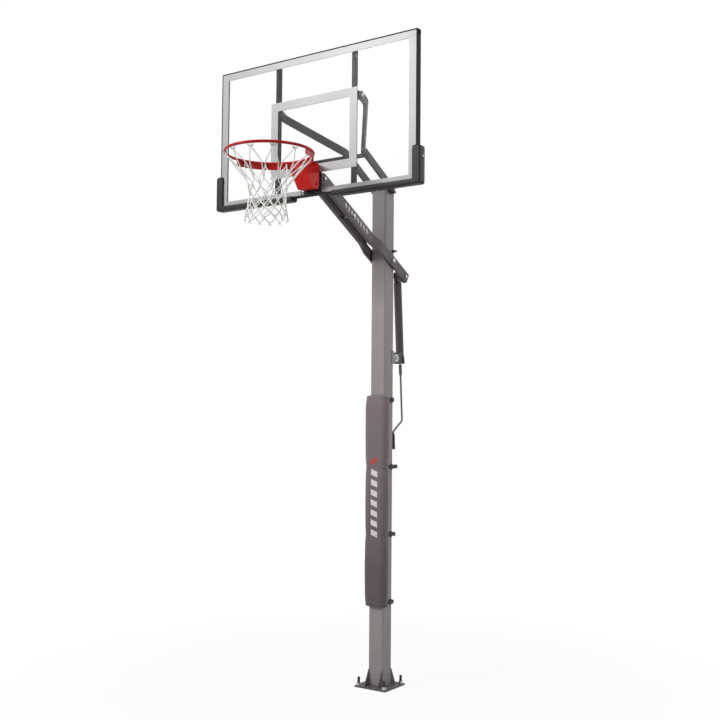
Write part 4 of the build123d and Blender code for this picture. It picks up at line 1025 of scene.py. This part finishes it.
class HOOP_OT_finishes(bpy.types.Operator):
    """Paints, plates and prints every node of the frame"""

    bl_idname = "hoop.finishes"
    bl_label = "Finishes"

    def execute(self, context):
        c = colours()
        pole, arms, board, rim = (tuple(v) for v in (c.pole, c.arms, c.board, c.rim))
        arm = np.array([0.0, -0.8780, 0.4787])
        start = np.array([0.0, 0.013, 2.603])

        def arm_bars(f, base, x, y, z):
            """Short slanted white bars along the outside of the lower arm."""
            along = (y - float(start[1])) * float(arm[1]) + (z - float(start[2])) * float(arm[2])
            up = (y - float(start[1])) * float(arm[2]) - (z - float(start[2])) * float(arm[1])
            zone = (along > 0.27).both(along < 0.555).both(abs(up - 0.004) < 0.0125).both(x > 0.04)
            bars = zone.both((along - up * 0.5).repeat(0.0355) < 0.5)
            return f.mix(bars * 0.85, base, (0.74, 0.73, 0.72))

        def painted_board_shadow(f, base, x, y, z):
            """Painted shadow: the coat is drawn a little darker above the arms, where the board and arms
            shade the pole.
            """
            return f.mix(z.smooth(2.3, 2.75) * 0.75, base, tint(pole, 0.6))

        wear = {
            "pole_paint": powder_coat("pole powder coat", pole, 0.4, marks_and_painted_shade=painted_board_shadow),
            "arm_paint": powder_coat("arm powder coat", arms, 0.46, 0.15, arm_bars),
            "frame_paint": powder_coat("board frame powder coat", board, 0.55, 0.08),
            "black_plastic": moulded("black plastic", (0.028, 0.027, 0.028)),
            "zinc_steel": zinc("zinc plate"),
            "black_bolt": black_oxide("black oxide"),
            "gasket_tape": moulded("gasket foam", (0.42, 0.42, 0.42), 600.0, 0.0003, 0.8),
            "board_glass": printed_glass("printed glass"),
            "rim_red": gloss_paint("rim paint", rim),
            "rim_base_paint": powder_coat("rim base coat", (0.04, 0.036, 0.036), 0.5, 0.15),
            "hook_wire": powder_coat("hook wire", (0.09, 0.012, 0.012), 0.6, 0.04),
            "jack_paint": powder_coat("jack powder coat", tint(arms, 0.75), 0.4, 0.2),
            "crank_steel": powder_coat("crank coat", (0.13, 0.12, 0.12), 0.36),
            "grip_plastic": moulded("grip plastic", (0.05, 0.047, 0.047), 700.0, 0.0004, 0.5),
            "pad_vinyl": moulded("pad", (0.05, 0.05, 0.05)),
            "pad_rubber": moulded("pad rubber", (0.02, 0.02, 0.02)),
            "strap_webbing": moulded("strap", (0.03, 0.03, 0.03)),
            "net_cord": moulded("cord", (0.8, 0.8, 0.8)),
        }
        # Painted shade: the upper arms take a darker copy of the arm paint.
        upper = powder_coat("upper arm powder coat with painted shade", tint(arms, 0.5), 0.5, 0.12)
        # Painted shade: the base plate and gussets take a darker copy of the pole paint.
        shaded_footing = powder_coat("base powder coat with painted shade", tint(pole, 0.4), 0.5, 0.2)
        # Painted shade: the ring and its brace take a darker copy of the rim paint.
        ring = gloss_paint("ring paint with painted shade", tint(rim, 0.66))
        own = {
            "anchor_studs": black_oxide("threaded black oxide", pitch=2 * MM),
            "upper_arm_left": upper,
            "upper_arm_right": upper,
            "base_plate": shaded_footing,
            "base_gussets": shaded_footing,
            "rim_ring": ring,
            "rim_brace": ring,
            "rim_hinge_pin": wear["rim_red"],
        }
        slots = {row["node"]: row["material_slot"] for row in frame["record"]["subparts"]}
        for name, node in frame["nodes"].items():
            if slots[name] not in wear:
                raise RuntimeError(f"no finish for {name}")
            paint(node, own.get(name, wear[slots[name]]))
        return {"FINISHED"}


class HOOP_OT_stage(bpy.types.Operator):
    """Sets the pale floor, the soft lamps and the camera"""

    bl_idname = "hoop.stage"
    bl_label = "Stage"

    def execute(self, context):
        scene = context.scene
        scene.view_settings.view_transform = "Standard"
        self.world(scene)
        self.floor()
        self.lamps()
        self.camera(scene)
        return {"FINISHED"}

    def seen(self, tree):
        """1 where the surface is seen straight, through glass or mirrored, and 0 where it only lights."""
        rays = tree.node("ShaderNodeLightPath", output=None)
        names = ("Is Camera Ray", "Is Transmission Ray", "Is Glossy Ray")
        straight, through, mirrored = (Signal(tree, rays.outputs[name]) for name in names)
        return straight.either(through).either(mirrored)

    def world(self, scene):
        scene.world = bpy.data.worlds.new("studio")
        f = Finish("studio", scene.world)
        light = f.node("ShaderNodeBackground", inputs={"Color": (1, 1, 1, 1), "Strength": 0.36})
        white = f.node("ShaderNodeBackground", inputs={"Color": (1, 1, 1, 1), "Strength": 1.0})
        both = f.node("ShaderNodeMixShader", inputs={0: self.seen(f), 1: light, 2: white})
        f.links.new(both.socket, f.sheet.inputs["Surface"])

    def floor(self):
        shape = Shape()
        grid = np.stack(np.meshgrid([-30.0, 30.0], [-30.0, 30.0], indexing="ij") + [np.zeros((2, 2))], -1)
        shape.add(grid.reshape(-1, 3), lattice(2, 2, False)[:, ::-1], np.zeros((1, 4, 2)))
        floor = shape.build("studio_floor")
        f = Finish("studio floor")
        _, x, y, _ = f.place()
        away = (x * x + y * y).smooth(0.2, 7.0)
        matt = f.node("ShaderNodeBsdfDiffuse", inputs={"Color": (0.6, 0.6, 0.6, 1)})
        glow = f.node("ShaderNodeEmission", inputs={"Color": (1, 1, 1, 1), "Strength": 1.0})
        share = self.seen(f) * (away * 0.06 + 0.94)
        both = f.node("ShaderNodeMixShader", inputs={0: share, 1: matt, 2: glow})
        f.links.new(both.socket, f.sheet.inputs["Surface"])
        paint(floor, f.material)

    def lamps(self):
        aim = Vector((0, -0.4, 2.0))
        for name, place, wide, power in (
            ("key lamp", (-3.4, -6.6, 6.2), 2.6, 430),
            ("fill lamp", (6.0, -1.0, 6.0), 2.6, 100),
            ("rear lamp", (2.5, 6.0, 5.0), 3.0, 60),
        ):
            data = bpy.data.lights.new(name, "AREA")
            data.shape, data.size, data.energy = "DISK", wide, power
            lamp = bpy.data.objects.new(name, data)
            lamp.location = place
            lamp.rotation_mode = "QUATERNION"
            lamp.rotation_quaternion = (aim - Vector(place)).to_track_quat("-Z", "Y")
            bpy.context.scene.collection.objects.link(lamp)

    def camera(self, scene):
        place = (3.475, -5.284, 1.630)
        yaw, pitch, roll = (math.radians(a) for a in (34.57, 3.21, 0.49))
        right = np.array([math.cos(yaw), math.sin(yaw), 0.0])
        forward = np.array([-math.sin(yaw), math.cos(yaw), 0.0])
        ahead = math.cos(pitch) * forward + np.array([0.0, 0.0, math.sin(pitch)])
        up = np.cross(right, ahead)
        across = math.cos(roll) * right + math.sin(roll) * up
        rise = -math.sin(roll) * right + math.cos(roll) * up
        data = bpy.data.cameras.new("camera")
        data.lens, data.sensor_width = 51.12, 36.0
        data.clip_start, data.clip_end = 0.1, 200
        camera = bpy.data.objects.new("camera", data)
        turn = np.eye(4)
        turn[:3, 0], turn[:3, 1], turn[:3, 2] = across, rise, -ahead
        turn[:3, 3] = place
        camera.matrix_world = Matrix(turn.tolist())
        scene.collection.objects.link(camera)
        scene.camera = camera


class HOOP_PT_panel(bpy.types.Panel):
    """Shows the hoop's sizes and colours, and a button for each step"""

    bl_idname = "HOOP_PT_panel"
    bl_label = "Basketball Hoop"
    bl_space_type = "VIEW_3D"
    bl_region_type = "UI"
    bl_category = "Hoop"

    def draw(self, context):
        column = self.layout.column()
        for group in (context.scene.hoop_sizes, context.scene.hoop_colours):
            for name in group.__annotations__:
                column.prop(group, name)
        for step in STEPS:
            column.operator(f"hoop.{step}")


STEPS = ("stage", "finishes", "net", "pole_pad", "pad_straps", "board_pads", "welds", "rim_springs")
CLASSES = (
    HoopSizes,
    HoopColours,
    HOOP_OT_stage,
    HOOP_OT_finishes,
    HOOP_OT_net,
    HOOP_OT_pole_pad,
    HOOP_OT_pad_straps,
    HOOP_OT_board_pads,
    HOOP_OT_welds,
    HOOP_OT_rim_springs,
    HOOP_PT_panel,
)


def register():
    for kind in CLASSES:
        bpy.utils.register_class(kind)
    bpy.types.Scene.hoop_sizes = PointerProperty(type=HoopSizes)
    bpy.types.Scene.hoop_colours = PointerProperty(type=HoopColours)


def unregister():
    del bpy.types.Scene.hoop_colours
    del bpy.types.Scene.hoop_sizes
    for kind in reversed(CLASSES):
        bpy.utils.unregister_class(kind)


def main():
    register()
    for step in STEPS:
        getattr(bpy.ops.hoop, step)()


if __name__ == "__main__":
    main()
